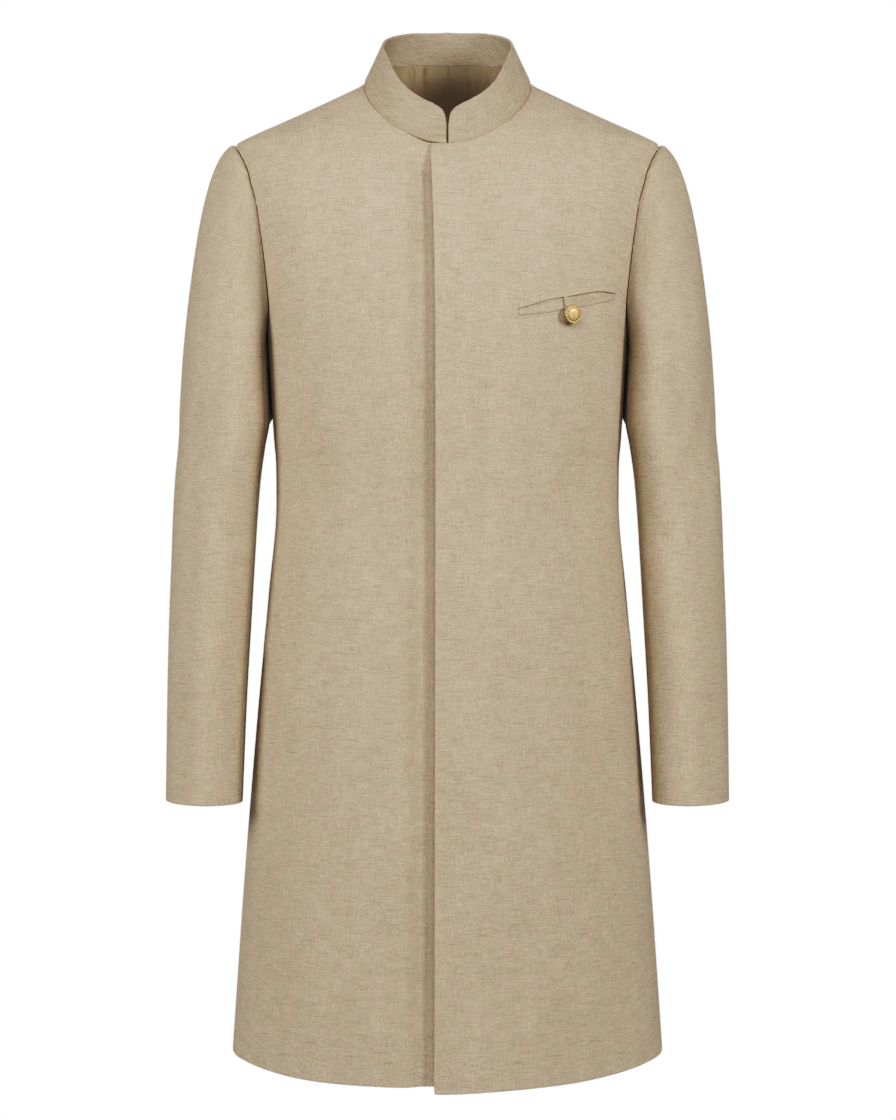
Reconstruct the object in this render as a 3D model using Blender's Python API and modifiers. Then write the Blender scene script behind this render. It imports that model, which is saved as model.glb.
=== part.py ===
"""Sherwani coat: a knee-length tailored coat with a band collar and a covered front closing.

Every cut piece is its own object: two fronts, two backs, two-piece sleeves, collar, back neck
lining, jetted breast pocket with its tab and button, and a pocket in each side seam.

The cloth is shaped over a bust, a stack of rounded sections. A point of the bust has a height z
and an angle round it: 0 is the centre front, 90 the side or the shoulder line, 180 the centre
back. The wearer faces -Y, and the wearer's left is +X. Sizes are in millimetres, with z = 0 where
the shoulder seam meets the collar, and the meshes are in metres.
"""

import bmesh
import bpy
import numpy as np
from mathutils import Vector

MM = 0.001

# Cloth
CLOTH = 2.2  # body and sleeve wall
COLLAR_WALL = 3.0  # interlined collar
LINING_WALL = 1.0
SEAM = 0.3  # gap between two pieces along a seam
FACET_CLEARANCE = 0.35  # what a layer needs to clear the flat facets of the one under it

# Heights of the main lines
HEM_Z = -988.0
UNDERARM_Z = -270.0
SHOULDER_TIP_Z = -64.5
BICEP_Z = -300.0
CUFF_Z = -730.0

# Neckline, an oval seen from the front
NECK_HALF_WIDTH = 85.4
NECK_FRONT_DROP = 77.0
NECK_FRONT_ROUND = 1.76
NECK_BACK = (
    # share of the way from the centre back to the shoulder seam, x, z
    (0.0, 0.0, 33.5),
    (0.3, 27.0, 33.2),
    (0.6, 54.0, 30.2),
    (0.75, 66.5, 25.5),
    (0.87, 75.5, 17.5),
    (0.94, 80.0, 10.0),
    (1.0, 85.4, 0.0),
)

# Sections of the bust. front and back are depths from side_y, square is the section's exponent
BUST = (
    # z, half_width, front, back, side_y, square
    (36.0, 75.0, 8.0, 72.0, 5.0, 2.00),
    (22.0, 82.0, 9.0, 72.0, 5.0, 1.95),
    (8.0, 85.0, 10.0, 76.0, 5.0, 1.80),
    (0.0, 85.4, 12.0, 81.0, 5.0, 1.70),
    (-3.0, 88.0, 16.0, 83.0, 5.0, 1.67),
    (-11.3, 104.0, 27.0, 88.0, 5.0, 1.66),
    (-27.6, 138.5, 43.0, 94.0, 5.0, 1.66),
    (-44.0, 174.5, 57.0, 99.0, 5.0, 1.70),
    (-57.0, 203.0, 67.5, 102.5, 5.0, 1.76),
    (-64.5, 216.0, 72.5, 104.7, 5.0, 1.81),
    (-77.0, 220.0, 80.0, 108.0, 4.8, 1.92),
    (-90.0, 220.5, 88.0, 111.0, 4.5, 2.02),
    (-108.0, 217.5, 96.0, 115.0, 4.0, 2.13),
    (-130.0, 210.5, 104.0, 118.5, 3.3, 2.22),
    (-160.0, 203.5, 111.0, 121.5, 2.5, 2.30),
    (-195.0, 195.5, 116.0, 122.5, 1.5, 2.34),
    (-230.0, 188.5, 119.0, 121.5, 0.6, 2.36),
    (-270.0, 182.5, 120.0, 119.0, 0.0, 2.36),
    (-340.0, 178.0, 117.5, 113.0, 0.0, 2.36),
    (-366.0, 176.3, 116.0, 111.0, 0.0, 2.36),
    (-392.0, 174.3, 114.5, 109.5, 0.0, 2.35),
    (-430.0, 173.9, 113.5, 108.5, 0.0, 2.34),
    (-520.0, 181.5, 119.0, 118.0, 0.0, 2.28),
    (-640.0, 192.6, 129.0, 131.0, 0.0, 2.22),
    (-800.0, 205.6, 140.5, 141.0, 0.0, 2.16),
    (-988.0, 218.6, 151.0, 149.0, 0.0, 2.12),
    (-1000.0, 219.4, 151.6, 149.5, 0.0, 2.12),
)

# Where the side seam runs down the bust, a little forward of the widest line below the waist
SIDE_SEAM = (
    # z, angle
    (-1000.0, 85.0),
    (-800.0, 84.0),
    (-590.0, 82.5),
    (-430.0, 84.0),
    (-340.0, 88.0),
    (-270.0, 90.0),
)

# Armhole from the underarm up to the shoulder tip. The back angle is counted from the centre back
FRONT_ARMHOLE = (
    # z, angle
    (-270.0, 90.0),
    (-267.3, 84.5),
    (-262.0, 80.0),
    (-249.0, 74.5),
    (-233.5, 70.8),
    (-203.0, 68.0),
    (-169.0, 65.6),
    (-125.0, 64.4),
    (-102.0, 65.1),
    (-91.0, 67.3),
    (-81.0, 71.3),
    (-72.0, 77.0),
    (-66.5, 83.5),
    (-64.5, 90.0),
)
BACK_ARMHOLE = (
    # z, angle
    (-270.0, 90.0),
    (-267.3, 84.5),
    (-262.0, 79.5),
    (-248.0, 74.0),
    (-232.0, 71.0),
    (-200.0, 68.8),
    (-165.0, 67.5),
    (-125.0, 67.3),
    (-102.0, 69.0),
    (-88.0, 72.5),
    (-76.0, 77.5),
    (-68.0, 83.0),
    (-64.5, 90.0),
)

# Front closing: the wearer's left front laps over the right one
OVER_EDGE = (
    # z, distance past the centre line
    (-1000.0, 12.6),
    (-300.0, 11.8),
    (-180.0, 13.2),
    (-76.0, 17.2),
)
UNDER_REACH = 24.0  # how far the right front runs on under the left one
OVER_WALL = 3.8  # the left front's edge with its folded facing
FACING_FADE = (38.0, 50.0)  # distance from the centre over which that edge thins to the cloth
NECK_STEP = 2.9  # how deep the right front lies under the left one at the neck
LAP_STEP = 7.0  # and from LAP_STEP_Z down
LAP_STEP_Z = -110.0
TROUGH = (19.0, 35.0)  # distance from the centre over which the right front sinks to that depth
HEM = (
    # angle, z of the right front and the backs, z of the left front
    (-10.0, -988.6, -994.8),
    (0.0, -988.6, -994.4),
    (11.0, -988.6, -992.6),
    (22.0, -988.6, -990.8),
    (32.0, -988.4, -989.4),
    (42.0, -987.4, -987.4),
    (54.0, -985.2, -985.2),
    (68.0, -983.4, -983.4),
    (90.0, -983.4, -983.4),
)
HEM_FADE = 250.0  # how far up the panels the rows follow the hem

# Grid lines of the torso pieces
PLACKET_LINES = (0.0, 12.0, 20.0, 28.0, 38.0)  # columns parallel to the front edge
NECK_STEPS = 6  # columns ending on the front neckline beyond them
BACK_NECK_STEPS = 8
SHOULDER_STEPS = 5
SHOULDER_SPREAD = 1.4  # how much closer together they lie near the neck
ARM_ROWS = 12
TOP_SPREAD = 6  # how late the columns turn towards the shoulder seam

# Pocket in each side seam
MOUTH_TOP_Z = -440.0
MOUTH_BOTTOM_Z = -588.0
GAPE = (
    # z, width of the gap at the seam
    (MOUTH_BOTTOM_Z, 0.0),
    (-581.0, 5.0),
    (-567.0, 6.0),
    (-548.0, 3.0),
    (-528.0, 0.0),
)
GAPE_LIFT = 0.25  # how far the front edge springs out, as a share of the gap
LEVELS = (
    *(HEM_Z, -925.0, -860.0, -795.0, -730.0, -675.0, -625.0),
    *(MOUTH_BOTTOM_Z, -581.0, -567.0, -548.0, -528.0, -484.0, MOUTH_TOP_Z),
    *(-395.0, -350.0, -308.0, UNDERARM_Z),
)  # rows of the torso pieces below the armhole
BAG_BOTTOM_LEVEL = 5  # rows of LEVELS between which the pocket bag hangs
BAG_TOP_LEVEL = 14
BAG_COLUMNS = 4  # columns of the front that the bag reaches across
BAG_HOLLOW = 3.0  # how far the bag stands off the front behind the mouth
BAG_HOLLOW_BOTTOM_Z = -600.0  # between these heights
BAG_HOLLOW_TOP_Z = -470.0
BAG_INNER_SHARE = 0.6  # and this share of it one column nearer the seam

# Back neck lining, in two halves: how much of the back's grid it covers
LINING_ROWS = 4
LINING_COLUMNS = 10

# Sleeve: horizontal sections from the upper arm to the cuff
SLEEVE = (
    # z, centre_x, half_x, centre_y, half_y, swing: how far the outer side lies back
    (-300.0, 227.8, 45.9, 5.0, 62.0, 26.0),
    (-348.0, 228.2, 48.2, 5.5, 61.0, 26.0),
    (-372.0, 231.0, 46.8, 6.0, 60.5, 25.0),
    (-406.0, 235.0, 46.0, 5.5, 59.5, 23.0),
    (-447.0, 237.7, 45.3, 3.0, 58.0, 20.0),
    (-529.0, 240.5, 43.7, -6.0, 54.5, 16.0),
    (-631.0, 243.3, 41.4, -17.0, 51.0, 13.0),
    (-730.0, 244.8, 39.6, -28.0, 47.5, 11.0),
)
SLEEVE_LEVELS = (-325.0, -348.0, -372.0, -415.0, -460.0, -510.0, -560.0, -615.0, -672.0, CUFF_Z)
# How each line of the sleeve head leaves the armhole and comes down to the upper arm
SLEEVE_HEAD = (
    # turn, out, fore, drop, lean, rise
    (0.0, 31.0, 0.0, 0.5, -7.0, 114.0),
    (45.0, 27.0, -7.0, -3.0, -4.0, 96.0),
    (90.0, 21.0, -9.0, -10.0, 0.0, 62.0),
    (135.0, 9.0, -6.0, -14.0, 0.0, 26.0),
    (180.0, 0.6, 0.0, -10.0, 0.0, 10.0),
    (225.0, 9.0, 6.0, -14.0, 0.0, 24.0),
    (270.0, 21.0, 8.0, -10.0, 0.0, 58.0),
    (315.0, 27.0, 6.0, -3.0, -4.0, 92.0),
    (360.0, 31.0, 0.0, 0.5, -7.0, 114.0),
)
HEAD_ROWS = (0.0, 0.1, 0.25, 0.42, 0.6, 0.8, 1.0)
FOREARM_SEAM = 11  # which line round the sleeve, of 2 * ARM_ROWS, each seam follows
HINDARM_SEAM = 16

# Collar: where its top edge runs, as the neckline below it turns from the front to the back
COLLAR_FRONT = 67.0  # depths of the top edge from COLLAR_CENTRE_Y
COLLAR_BACK = 61.0
COLLAR_CENTRE_Y = 5.0
COLLAR_LIFT = 0.45  # gap along the collar seam
COLLAR_TOP = (
    # turn, x, z
    (0.0, 0.0, -40.0),
    (8.0, 9.0, -37.8),
    (13.5, 15.0, -34.3),
    (19.0, 21.0, -31.2),
    (26.4, 28.5, -26.5),
    (32.0, 34.0, -22.5),
    (48.0, 47.6, -7.5),
    (64.4, 57.8, 12.5),
    (80.0, 64.2, 29.5),
    (90.0, 67.0, 38.0),
    (102.0, 64.5, 47.2),
    (112.0, 60.3, 52.2),
    (122.0, 54.5, 56.5),
    (150.0, 32.5, 64.2),
    (180.0, 0.0, 66.8),
)
COLLAR_END = (
    # base_x, top_x, top_z: the rounded corner at each end
    (0.85, 0.95, -58.0),
    (2.6, 2.2, -48.0),
    (6.5, 5.2, -41.3),
)
COLLAR_ROWS = 5

# Breast pocket on the wearer's left, as heights over the distance from the centre line
POCKET = (
    # x, top, upper_lip, lower_lip, bottom
    (69.0, -240.2, -245.2, -245.7, -252.0),
    (80.0, -236.3, -242.0, -242.5, -250.8),
    (94.0, -231.5, -237.0, -237.5, -249.1),
    (109.5, -227.3, -233.6, -234.1, -245.8),
    (118.5, -225.7, -231.7, -233.2, -243.8),
    (127.5, -224.1, -229.6, -235.1, -241.8),
    (141.5, -221.1, -226.2, -232.4, -238.4),
    (153.5, -218.9, -224.8, -228.6, -234.8),
    (161.5, -218.9, -225.0, -225.9, -232.4),
    (165.0, -218.3, -224.6, -225.1, -230.8),
)
JET_WALL = 1.0
JET_COLUMNS = 18
TAB_TOP = (111.8, 119.3, -232.6)  # left x, right x, z where it comes out of the pocket
TAB_END = (113.2, 124.6, -251.0)  # and behind the button
TAB_WALL = 1.2
TAB_LIFT = SEAM + JET_WALL + FACET_CLEARANCE  # how far it stands off the front
TAB_COLUMNS = 3
TAB_ROWS = 6
BUTTON_X = 118.9
BUTTON_Z = -249.6
BUTTON_PROFILE = (
    # radius, height over the cloth of the tab, from the shank to the crown
    (2.2, 0.0),
    (2.2, 1.8),
    (7.8, 2.3),
    (9.1, 2.9),
    (9.3, 3.5),
    (8.7, 4.2),
    (7.7, 4.3),
    (7.1, 3.9),
    (5.4, 4.6),
    (2.9, 5.2),
    (0.0, 5.4),
)
BUTTON_STEPS = 24

MATERIALS = {
    # red, green, blue, roughness, metallic
    "cloth": (0.50, 0.42, 0.30, 0.85, 0.0),
    "lining": (0.40, 0.33, 0.23, 0.70, 0.0),
    "brass": (0.72, 0.48, 0.22, 0.30, 1.0),
}
SMOOTH_ANGLE = 40.0  # edges sharper than this are drawn sharp
WELD = 0.0001  # points of a turned piece nearer than this, in metres, are joined
FINE_STEPS = 400  # points along a seam line that is then divided evenly
MIRROR_X = np.array([-1.0, 1.0, 1.0])


# ---------------------------------------------------------------- curves through short tables


def curve_through(table, column):
    """A smooth curve through one column of a table, over its first column."""
    rows = sorted(table)
    at = np.array([row[0] for row in rows])
    values = np.array([row[column] for row in rows])
    step = np.diff(at)
    slope = np.diff(values) / step
    tangent = np.concatenate([slope[:1], np.zeros(len(step) - 1), slope[-1:]])
    rising = slope[:-1] * slope[1:] > 0
    before, after = step[:-1][rising], step[1:][rising]
    tangent[1:-1][rising] = (3 * (before + after)) / (
        (2 * after + before) / slope[:-1][rising] + (after + 2 * before) / slope[1:][rising]
    )

    def curve(x):
        x = np.asarray(x, float)
        i = np.clip(np.searchsorted(at, x) - 1, 0, len(step) - 1)
        t = np.clip((x - at[i]) / step[i], 0, 1)
        return (
            values[i] * (1 + 2 * t) * (1 - t) ** 2
            + values[i + 1] * t**2 * (3 - 2 * t)
            + step[i] * t * (1 - t) * (tangent[i] * (1 - t) - tangent[i + 1] * t)
        )

    return curve


def ease(x, start, end):
    """0 before start, 1 after end, and a smooth step between."""
    t = np.clip((np.asarray(x, float) - start) / (end - start), 0, 1)
    return t * t * (3 - 2 * t)


half_width, front_depth, back_depth, side_y, square = (curve_through(BUST, i) for i in range(1, 6))
seam_angle = curve_through(SIDE_SEAM, 1)
over_edge = curve_through(OVER_EDGE, 1)
hem_z, over_hem_z = curve_through(HEM, 1), curve_through(HEM, 2)
gape = curve_through(GAPE, 1)
sleeve_x, sleeve_half_x, sleeve_y, sleeve_half_y = (curve_through(SLEEVE, i) for i in range(1, 5))
sleeve_swing = curve_through(SLEEVE, 5)
collar_top_x, collar_top_z = curve_through(COLLAR_TOP, 1), curve_through(COLLAR_TOP, 2)
neck_back_x, neck_back_z = curve_through(NECK_BACK, 1), curve_through(NECK_BACK, 2)


# ---------------------------------------------------------------- the bust


def on_bust(angle, z):
    """Points of the bust's surface at these angles and heights."""
    turn = np.radians(angle)
    power = 2 / square(z)
    depth = np.where(np.abs(angle) <= 90, front_depth(z), back_depth(z))
    x = half_width(z) * np.sign(np.sin(turn)) * np.abs(np.sin(turn)) ** power
    y = side_y(z) - depth * np.sign(np.cos(turn)) * np.abs(np.cos(turn)) ** power
    return np.stack([x, y, z + 0 * x], axis=-1)


def bust_normal(points):
    """The bust's outward normals at points of its surface."""
    x, y, z = points[..., 0], points[..., 1], points[..., 2]

    def level(height):
        away = y - side_y(height)
        depth = np.where(away <= 0, front_depth(height), back_depth(height))
        power = square(height)
        return np.abs(x / half_width(height)) ** power + np.abs(away / depth) ** power

    away = y - side_y(z)
    depth = np.where(away <= 0, front_depth(z), back_depth(z))
    power = square(z)
    slope_x = power * np.sign(x) * np.abs(x / half_width(z)) ** (power - 1) / half_width(z)
    slope_y = power * np.sign(away) * np.abs(away / depth) ** (power - 1) / depth
    slope_z = level(z + 0.5) - level(z - 0.5)
    normal = np.stack([slope_x, slope_y, slope_z], axis=-1)
    return normal / np.linalg.norm(normal, axis=-1, keepdims=True)


def angle_of(x, z):
    """The front angle at which the bust is x wide at height z."""
    share = np.clip(np.abs(x) / half_width(z), 0, 1)
    return np.sign(x) * np.degrees(np.arcsin(share ** (square(z) / 2)))


def front_point(x, z):
    """The point of the bust's front at x and z."""
    return on_bust(angle_of(x, z), np.asarray(z, float))


# ---------------------------------------------------------------- seam lines that pieces share


def neck_front_z(x):
    share = np.clip(np.abs(x) / NECK_HALF_WIDTH, 0, 1)
    return -NECK_FRONT_DROP * (1 - share**NECK_FRONT_ROUND) ** (1 / NECK_FRONT_ROUND)


def neckline_front(steps):
    """(x, z) of the front neckline from the last placket line to the shoulder seam."""
    start = np.arcsin((PLACKET_LINES[-1] / NECK_HALF_WIDTH) ** (NECK_FRONT_ROUND / 2))
    turn = np.linspace(start, np.pi / 2, steps + 1)
    x = NECK_HALF_WIDTH * np.sin(turn) ** (2 / NECK_FRONT_ROUND)
    return x, neck_front_z(x)


def neckline_back(steps):
    """(x, z) of the back neckline from the centre back to the shoulder seam."""
    share = np.sin(np.linspace(0, np.pi / 2, steps + 1))
    return neck_back_x(share), neck_back_z(share)


def armhole_line(table, back):
    """Angles and heights evenly spaced along half the armhole, from underarm to shoulder tip."""
    table = [(i, *row) for i, row in enumerate(table)]
    fine = np.linspace(0, len(table) - 1, FINE_STEPS)
    z, angle = curve_through(table, 1)(fine), curve_through(table, 2)(fine)
    points = on_bust(180 - angle if back else angle, z)
    length = np.concatenate([[0], np.cumsum(np.linalg.norm(np.diff(points, axis=0), axis=1))])
    even = np.linspace(0, length[-1], ARM_ROWS + 1)
    return np.interp(even, length, angle), np.interp(even, length, z)


# ---------------------------------------------------------------- torso pieces


def upper_rows(start, top_x, top_z, start_top_z, armhole):
    """Angles and heights of a panel's rows from the underarm level to the neck and shoulder.

    start is the x of the first column, which goes straight up to start_top_z. The next columns
    end on the neckline at top_x, top_z, and the rest on the shoulder seam.
    """
    arm_angle, arm_z = armhole
    shoulder_z = SHOULDER_TIP_Z * np.linspace(0, 1, SHOULDER_STEPS + 1)[1:] ** SHOULDER_SPREAD
    end_z = np.concatenate([top_z, shoulder_z])
    end_angle = np.concatenate([angle_of(top_x, top_z), np.full(SHOULDER_STEPS, 90.0)])
    across = np.linspace(0, 1, len(end_z))
    angles, heights = [], []
    for row in range(ARM_ROWS + 1):
        up = row / ARM_ROWS
        start_z = UNDERARM_Z + (start_top_z - UNDERARM_Z) * up
        first = angle_of(start, start_z)
        z = (
            (1 - across) * start_z
            + across * arm_z[row]
            + (1 - up) * UNDERARM_Z
            + up * end_z
            - (1 - up) * UNDERARM_Z
            - up * ((1 - across) * end_z[0] + across * end_z[-1])
        )
        spread_top = (end_angle - end_angle[0]) / (90 - end_angle[0])
        share = (1 - up**TOP_SPREAD) * across + up**TOP_SPREAD * spread_top
        angles.append(first + (arm_angle[row] - first) * share)
        heights.append(z)
    return np.array(angles), np.array(heights)


def front_grid(over):
    """Angles and heights of a front's grid, row by row from the hem, columns from its edge."""
    levels = np.array(LEVELS)
    columns = NECK_STEPS + SHOULDER_STEPS
    top_x, top_z = neckline_front(NECK_STEPS)
    last_line = PLACKET_LINES[-1]
    arm_angle, arm_z = armhole_line(FRONT_ARMHOLE, back=False)
    angles, heights = upper_rows(last_line, top_x, top_z, top_z[0], (arm_angle, arm_z))
    below = []
    for z in levels[:-1]:
        first = angle_of(last_line, z)
        below.append(first + (seam_angle(z) - first) * np.linspace(0, 1, columns + 1))
    angles = np.vstack([below, angles])
    heights = np.vstack([np.repeat(levels[:-1, None], columns + 1, axis=1), heights])
    placket_angles, placket_heights = [], []
    for line in (None, *PLACKET_LINES[:-1]):
        neck_z = neck_front_z(line or 0.0)
        up = np.linspace(0, 1, ARM_ROWS + 1)
        z = np.concatenate([levels[:-1], UNDERARM_Z + (neck_z - UNDERARM_Z) * up])
        x = line if line is not None else -over_edge(z) if over else -UNDER_REACH
        placket_angles.append(angle_of(x + 0 * z, z))
        placket_heights.append(z)
    angles = np.hstack([np.array(placket_angles).T, angles])
    heights = np.hstack([np.array(placket_heights).T, heights])
    return angles, follow_hem(angles, heights, over_hem_z if over else hem_z)


def back_grid():
    """Angles from the centre back and heights of a back's grid, columns from the centre back."""
    levels = np.array(LEVELS)
    columns = BACK_NECK_STEPS + SHOULDER_STEPS
    top_x, top_z = neckline_back(BACK_NECK_STEPS)
    armhole = armhole_line(BACK_ARMHOLE, back=True)
    angles, heights = upper_rows(0.0, top_x, top_z, top_z[0], armhole)
    below = [(180 - seam_angle(z)) * np.linspace(0, 1, columns + 1) for z in levels[:-1]]
    angles = np.vstack([below, angles])
    heights = np.vstack([np.repeat(levels[:-1, None], columns + 1, axis=1), heights])
    return angles, follow_hem(angles, heights, hem_z)


def follow_hem(angles, heights, line):
    """Bends the lowest rows to the line of the hem."""
    return heights + (line(angles) - HEM_Z) * (1 - ease(heights, HEM_Z, HEM_Z + HEM_FADE))


def lap_depth(x, z):
    """How deep the right front lies under the bust's surface, x counted towards its side."""
    depth = NECK_STEP + (LAP_STEP - NECK_STEP) * ease(-z, NECK_FRONT_DROP, -LAP_STEP_Z)
    return depth * (1 - ease(x, *TROUGH))


def over_wall(x, z):
    """The left front's wall, thicker where its edge is folded back, and plain at the neck."""
    extra = (OVER_WALL - CLOTH) * ease(-z, NECK_FRONT_DROP, -LAP_STEP_Z)
    return CLOTH + extra * (1 - ease(x, *FACING_FADE))


def trim(points, row_edges=(), column_edges=(), by=SEAM / 2):
    """Draws the named edges of a grid in along the surface, to leave half a seam's gap."""
    out = points.copy()
    for edge in row_edges:
        inner = points[1] if edge == 0 else points[-2]
        way = inner - points[edge]
        out[edge] += by * way / np.linalg.norm(way, axis=-1, keepdims=True)
    for edge in column_edges:
        inner = points[:, 1] if edge == 0 else points[:, -2]
        way = inner - points[:, edge]
        out[:, edge] += by * way / np.linalg.norm(way, axis=-1, keepdims=True)
    return out


def front_points(over):
    """Outer points, normals and wall of a front on the +X side, from its edge to its side."""
    angles, heights = front_grid(over)
    points = on_bust(angles, heights)
    normals = bust_normal(points)
    x, z = points[..., 0], points[..., 2]
    if over:
        wall = over_wall(x, z)
    else:
        wall = CLOTH + 0 * x
        points = points - lap_depth(x, z)[..., None] * normals
    points, normals = open_mouth(points, normals)
    normals[-1 - ARM_ROWS :, -1] = armhole_normals()[ARM_ROWS::-1]
    points = trim(points, row_edges=(-1,), column_edges=(-1,))
    return points, normals, wall


def open_mouth(points, normals):
    """Draws a front's side edge back from the seam where the side pocket gapes."""
    points = points.copy()
    gap = gape(points[:, -1, 2])[:, None]
    way = points[:, -2] - points[:, -1]
    way /= np.linalg.norm(way, axis=-1, keepdims=True)
    points[:, -1] += gap * way + GAPE_LIFT * gap * normals[:, -1]
    return points, normals


def back_points():
    """Outer points, normals and wall of a back on the +X side, from the centre to its side."""
    angles, heights = back_grid()
    points = on_bust(180 - angles, heights)
    normals = bust_normal(points)
    normals[-1 - ARM_ROWS :, -1] = armhole_normals()[ARM_ROWS:]
    points = trim(points, row_edges=(-1,), column_edges=(0, -1))
    return points, normals, CLOTH


def bag_points():
    """Outer points, normals and wall of a side pocket's bag, hung inside the side seam."""
    rows = slice(BAG_BOTTOM_LEVEL, BAG_TOP_LEVEL + 1)
    front = on_bust(*front_grid(over=False))[rows, -1 - BAG_COLUMNS :]
    back_angles, heights = back_grid()
    back = on_bust(180 - back_angles, heights)[rows, -2:-1]
    points = np.concatenate([front, 0.5 * (front[:, -1:] + back)], axis=1)
    normals = bust_normal(np.concatenate([front, front[:, -1:]], axis=1))
    z = front[:, -1, 2]
    hollow = BAG_HOLLOW * ease(z, LEVELS[BAG_BOTTOM_LEVEL], BAG_HOLLOW_BOTTOM_Z)
    hollow *= 1 - ease(z, BAG_HOLLOW_TOP_Z, MOUTH_TOP_Z)
    depth = np.full(points.shape[:2], CLOTH + FACET_CLEARANCE)
    depth[:, -3] += hollow
    depth[:, -2] += BAG_INNER_SHARE * hollow
    return points - depth[..., None] * normals, normals, LINING_WALL


# ---------------------------------------------------------------- sleeve


def armhole_loop():
    """Points once round the armhole: shoulder tip, front, underarm, back and up to the tip."""
    front_angle, front_z = armhole_line(FRONT_ARMHOLE, back=False)
    back_angle, back_z = armhole_line(BACK_ARMHOLE, back=True)
    front = on_bust(front_angle, front_z)[::-1]
    back = on_bust(180 - back_angle, back_z)
    return np.vstack([front, back[1:]])


def sleeve_ring(z, turn):
    """The sleeve's horizontal section. turn is 0 outside, 90 in front, 180 inside, 270 behind."""
    x = sleeve_x(z) + sleeve_half_x(z) * np.cos(turn)
    y = sleeve_y(z) - sleeve_half_y(z) * np.sin(turn) + sleeve_swing(z) * np.cos(turn)
    return np.stack([x, y, z + 0 * x], axis=-1)


def sleeve_surface():
    """Outer points and normals all round the sleeve, rows from the armhole to the cuff."""
    loop = armhole_loop()
    degrees = np.linspace(0, 360, 2 * ARM_ROWS + 1)
    turn = np.radians(degrees)
    out, fore, drop, lean, rise = (curve_through(SLEEVE_HEAD, i)(degrees) for i in range(1, 6))
    nothing = 0 * out
    leave = loop + np.stack([out, fore, drop], axis=-1)
    ring = sleeve_ring(BICEP_Z, turn)
    arrive = ring + np.stack([lean, nothing, rise], axis=-1)
    rows = [
        (1 - t) ** 3 * loop + 3 * t * (1 - t) ** 2 * leave + 3 * t**2 * (1 - t) * arrive + t**3 * ring
        for t in HEAD_ROWS
    ]
    rows += [sleeve_ring(z, turn) for z in SLEEVE_LEVELS]
    points = np.array(rows)
    along = np.gradient(points, axis=0)
    wrapped = np.concatenate([points[:, -2:-1], points, points[:, 1:2]], axis=1)
    around = wrapped[:, 2:] - wrapped[:, :-2]
    normals = np.cross(around, along)
    normals /= np.linalg.norm(normals, axis=-1, keepdims=True)
    return points, normals


def armhole_normals():
    """Directions halfway between the bust's normals and the sleeve's, for walls that meet there."""
    points, normals = sleeve_surface()
    along = np.gradient(points[0], axis=0)
    along[0] = along[-1] = points[0, 1] - points[0, -2]
    along /= np.linalg.norm(along, axis=-1, keepdims=True)
    between = bust_normal(points[0]) + normals[0]
    between -= (between * along).sum(axis=-1, keepdims=True) * along
    return between / np.linalg.norm(between, axis=-1, keepdims=True)


def sleeve_points(lines):
    """Outer points, normals and wall of the part of the sleeve along these lines."""
    points, normals = sleeve_surface()
    bust = bust_normal(points[0])
    folded_back = 1 - (bust * normals[0]).sum(axis=-1, keepdims=True)
    points[:2] += SEAM * folded_back * bust
    normals[0] = armhole_normals()
    points, normals = points[:, lines], normals[:, lines]
    return trim(points, row_edges=(0,), column_edges=(0, -1)), normals, CLOTH


# ---------------------------------------------------------------- collar


def collar_points():
    """Outer points, normals and wall of the collar, rows from its seam up, end to end."""
    end = np.array(COLLAR_END)
    neck_x, neck_z = neckline_front(NECK_STEPS)
    lines = np.array(PLACKET_LINES[1:-1])
    base_x = np.concatenate([end[:, 0], lines, neck_x])
    base_z = np.concatenate([neck_front_z(end[:, 0]), neck_front_z(lines), neck_z])
    front = front_point(base_x, base_z)
    back_x, back_z = neckline_back(BACK_NECK_STEPS)
    back = on_bust(180 - angle_of(back_x, back_z), back_z)[::-1]
    base = np.vstack([front, back[1:]])
    turn = np.degrees(np.arcsin(np.clip(base[:, 0] / NECK_HALF_WIDTH, -1, 1)))
    turn[len(front) :] = 180 - turn[len(front) :]
    depth = np.where(turn <= 90, COLLAR_FRONT, COLLAR_BACK)
    top_y = COLLAR_CENTRE_Y - depth * np.cos(np.radians(turn))
    top = np.stack([collar_top_x(turn), top_y, collar_top_z(turn)], axis=-1)
    corner = slice(len(end))
    share = (end[:, 2] - base[corner, 2]) / (COLLAR_TOP[0][2] + NECK_FRONT_DROP)
    top[corner, 0], top[corner, 2] = end[:, 1], end[:, 2]
    top[corner, 1] = base[corner, 1] + share * (top_y[len(end)] - base[corner, 1])
    base = np.vstack([base, base[-2::-1] * MIRROR_X])
    top = np.vstack([top, top[-2::-1] * MIRROR_X])
    up = top - base
    base = base + COLLAR_LIFT * up / np.linalg.norm(up, axis=-1, keepdims=True)
    shares = np.linspace(0, 1, COLLAR_ROWS)
    points = np.array([base + (top - base) * s for s in shares])
    normals = np.cross(np.gradient(points, axis=1), np.gradient(points, axis=0))
    normals /= np.linalg.norm(normals, axis=-1, keepdims=True)
    normals[0] = bust_normal(base)
    return points, normals, COLLAR_WALL


# ---------------------------------------------------------------- lining and pocket pieces


def lining_points():
    """Outer points, normals and wall of half the back neck lining, inside the back."""
    points, normals, _ = back_points()
    rows = slice(-1 - LINING_ROWS, None)
    points, normals = points[rows, :LINING_COLUMNS], normals[rows, :LINING_COLUMNS]
    points = points - (CLOTH + FACET_CLEARANCE) * normals
    return trim(points, row_edges=(-1,), by=SEAM), normals, LINING_WALL


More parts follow.
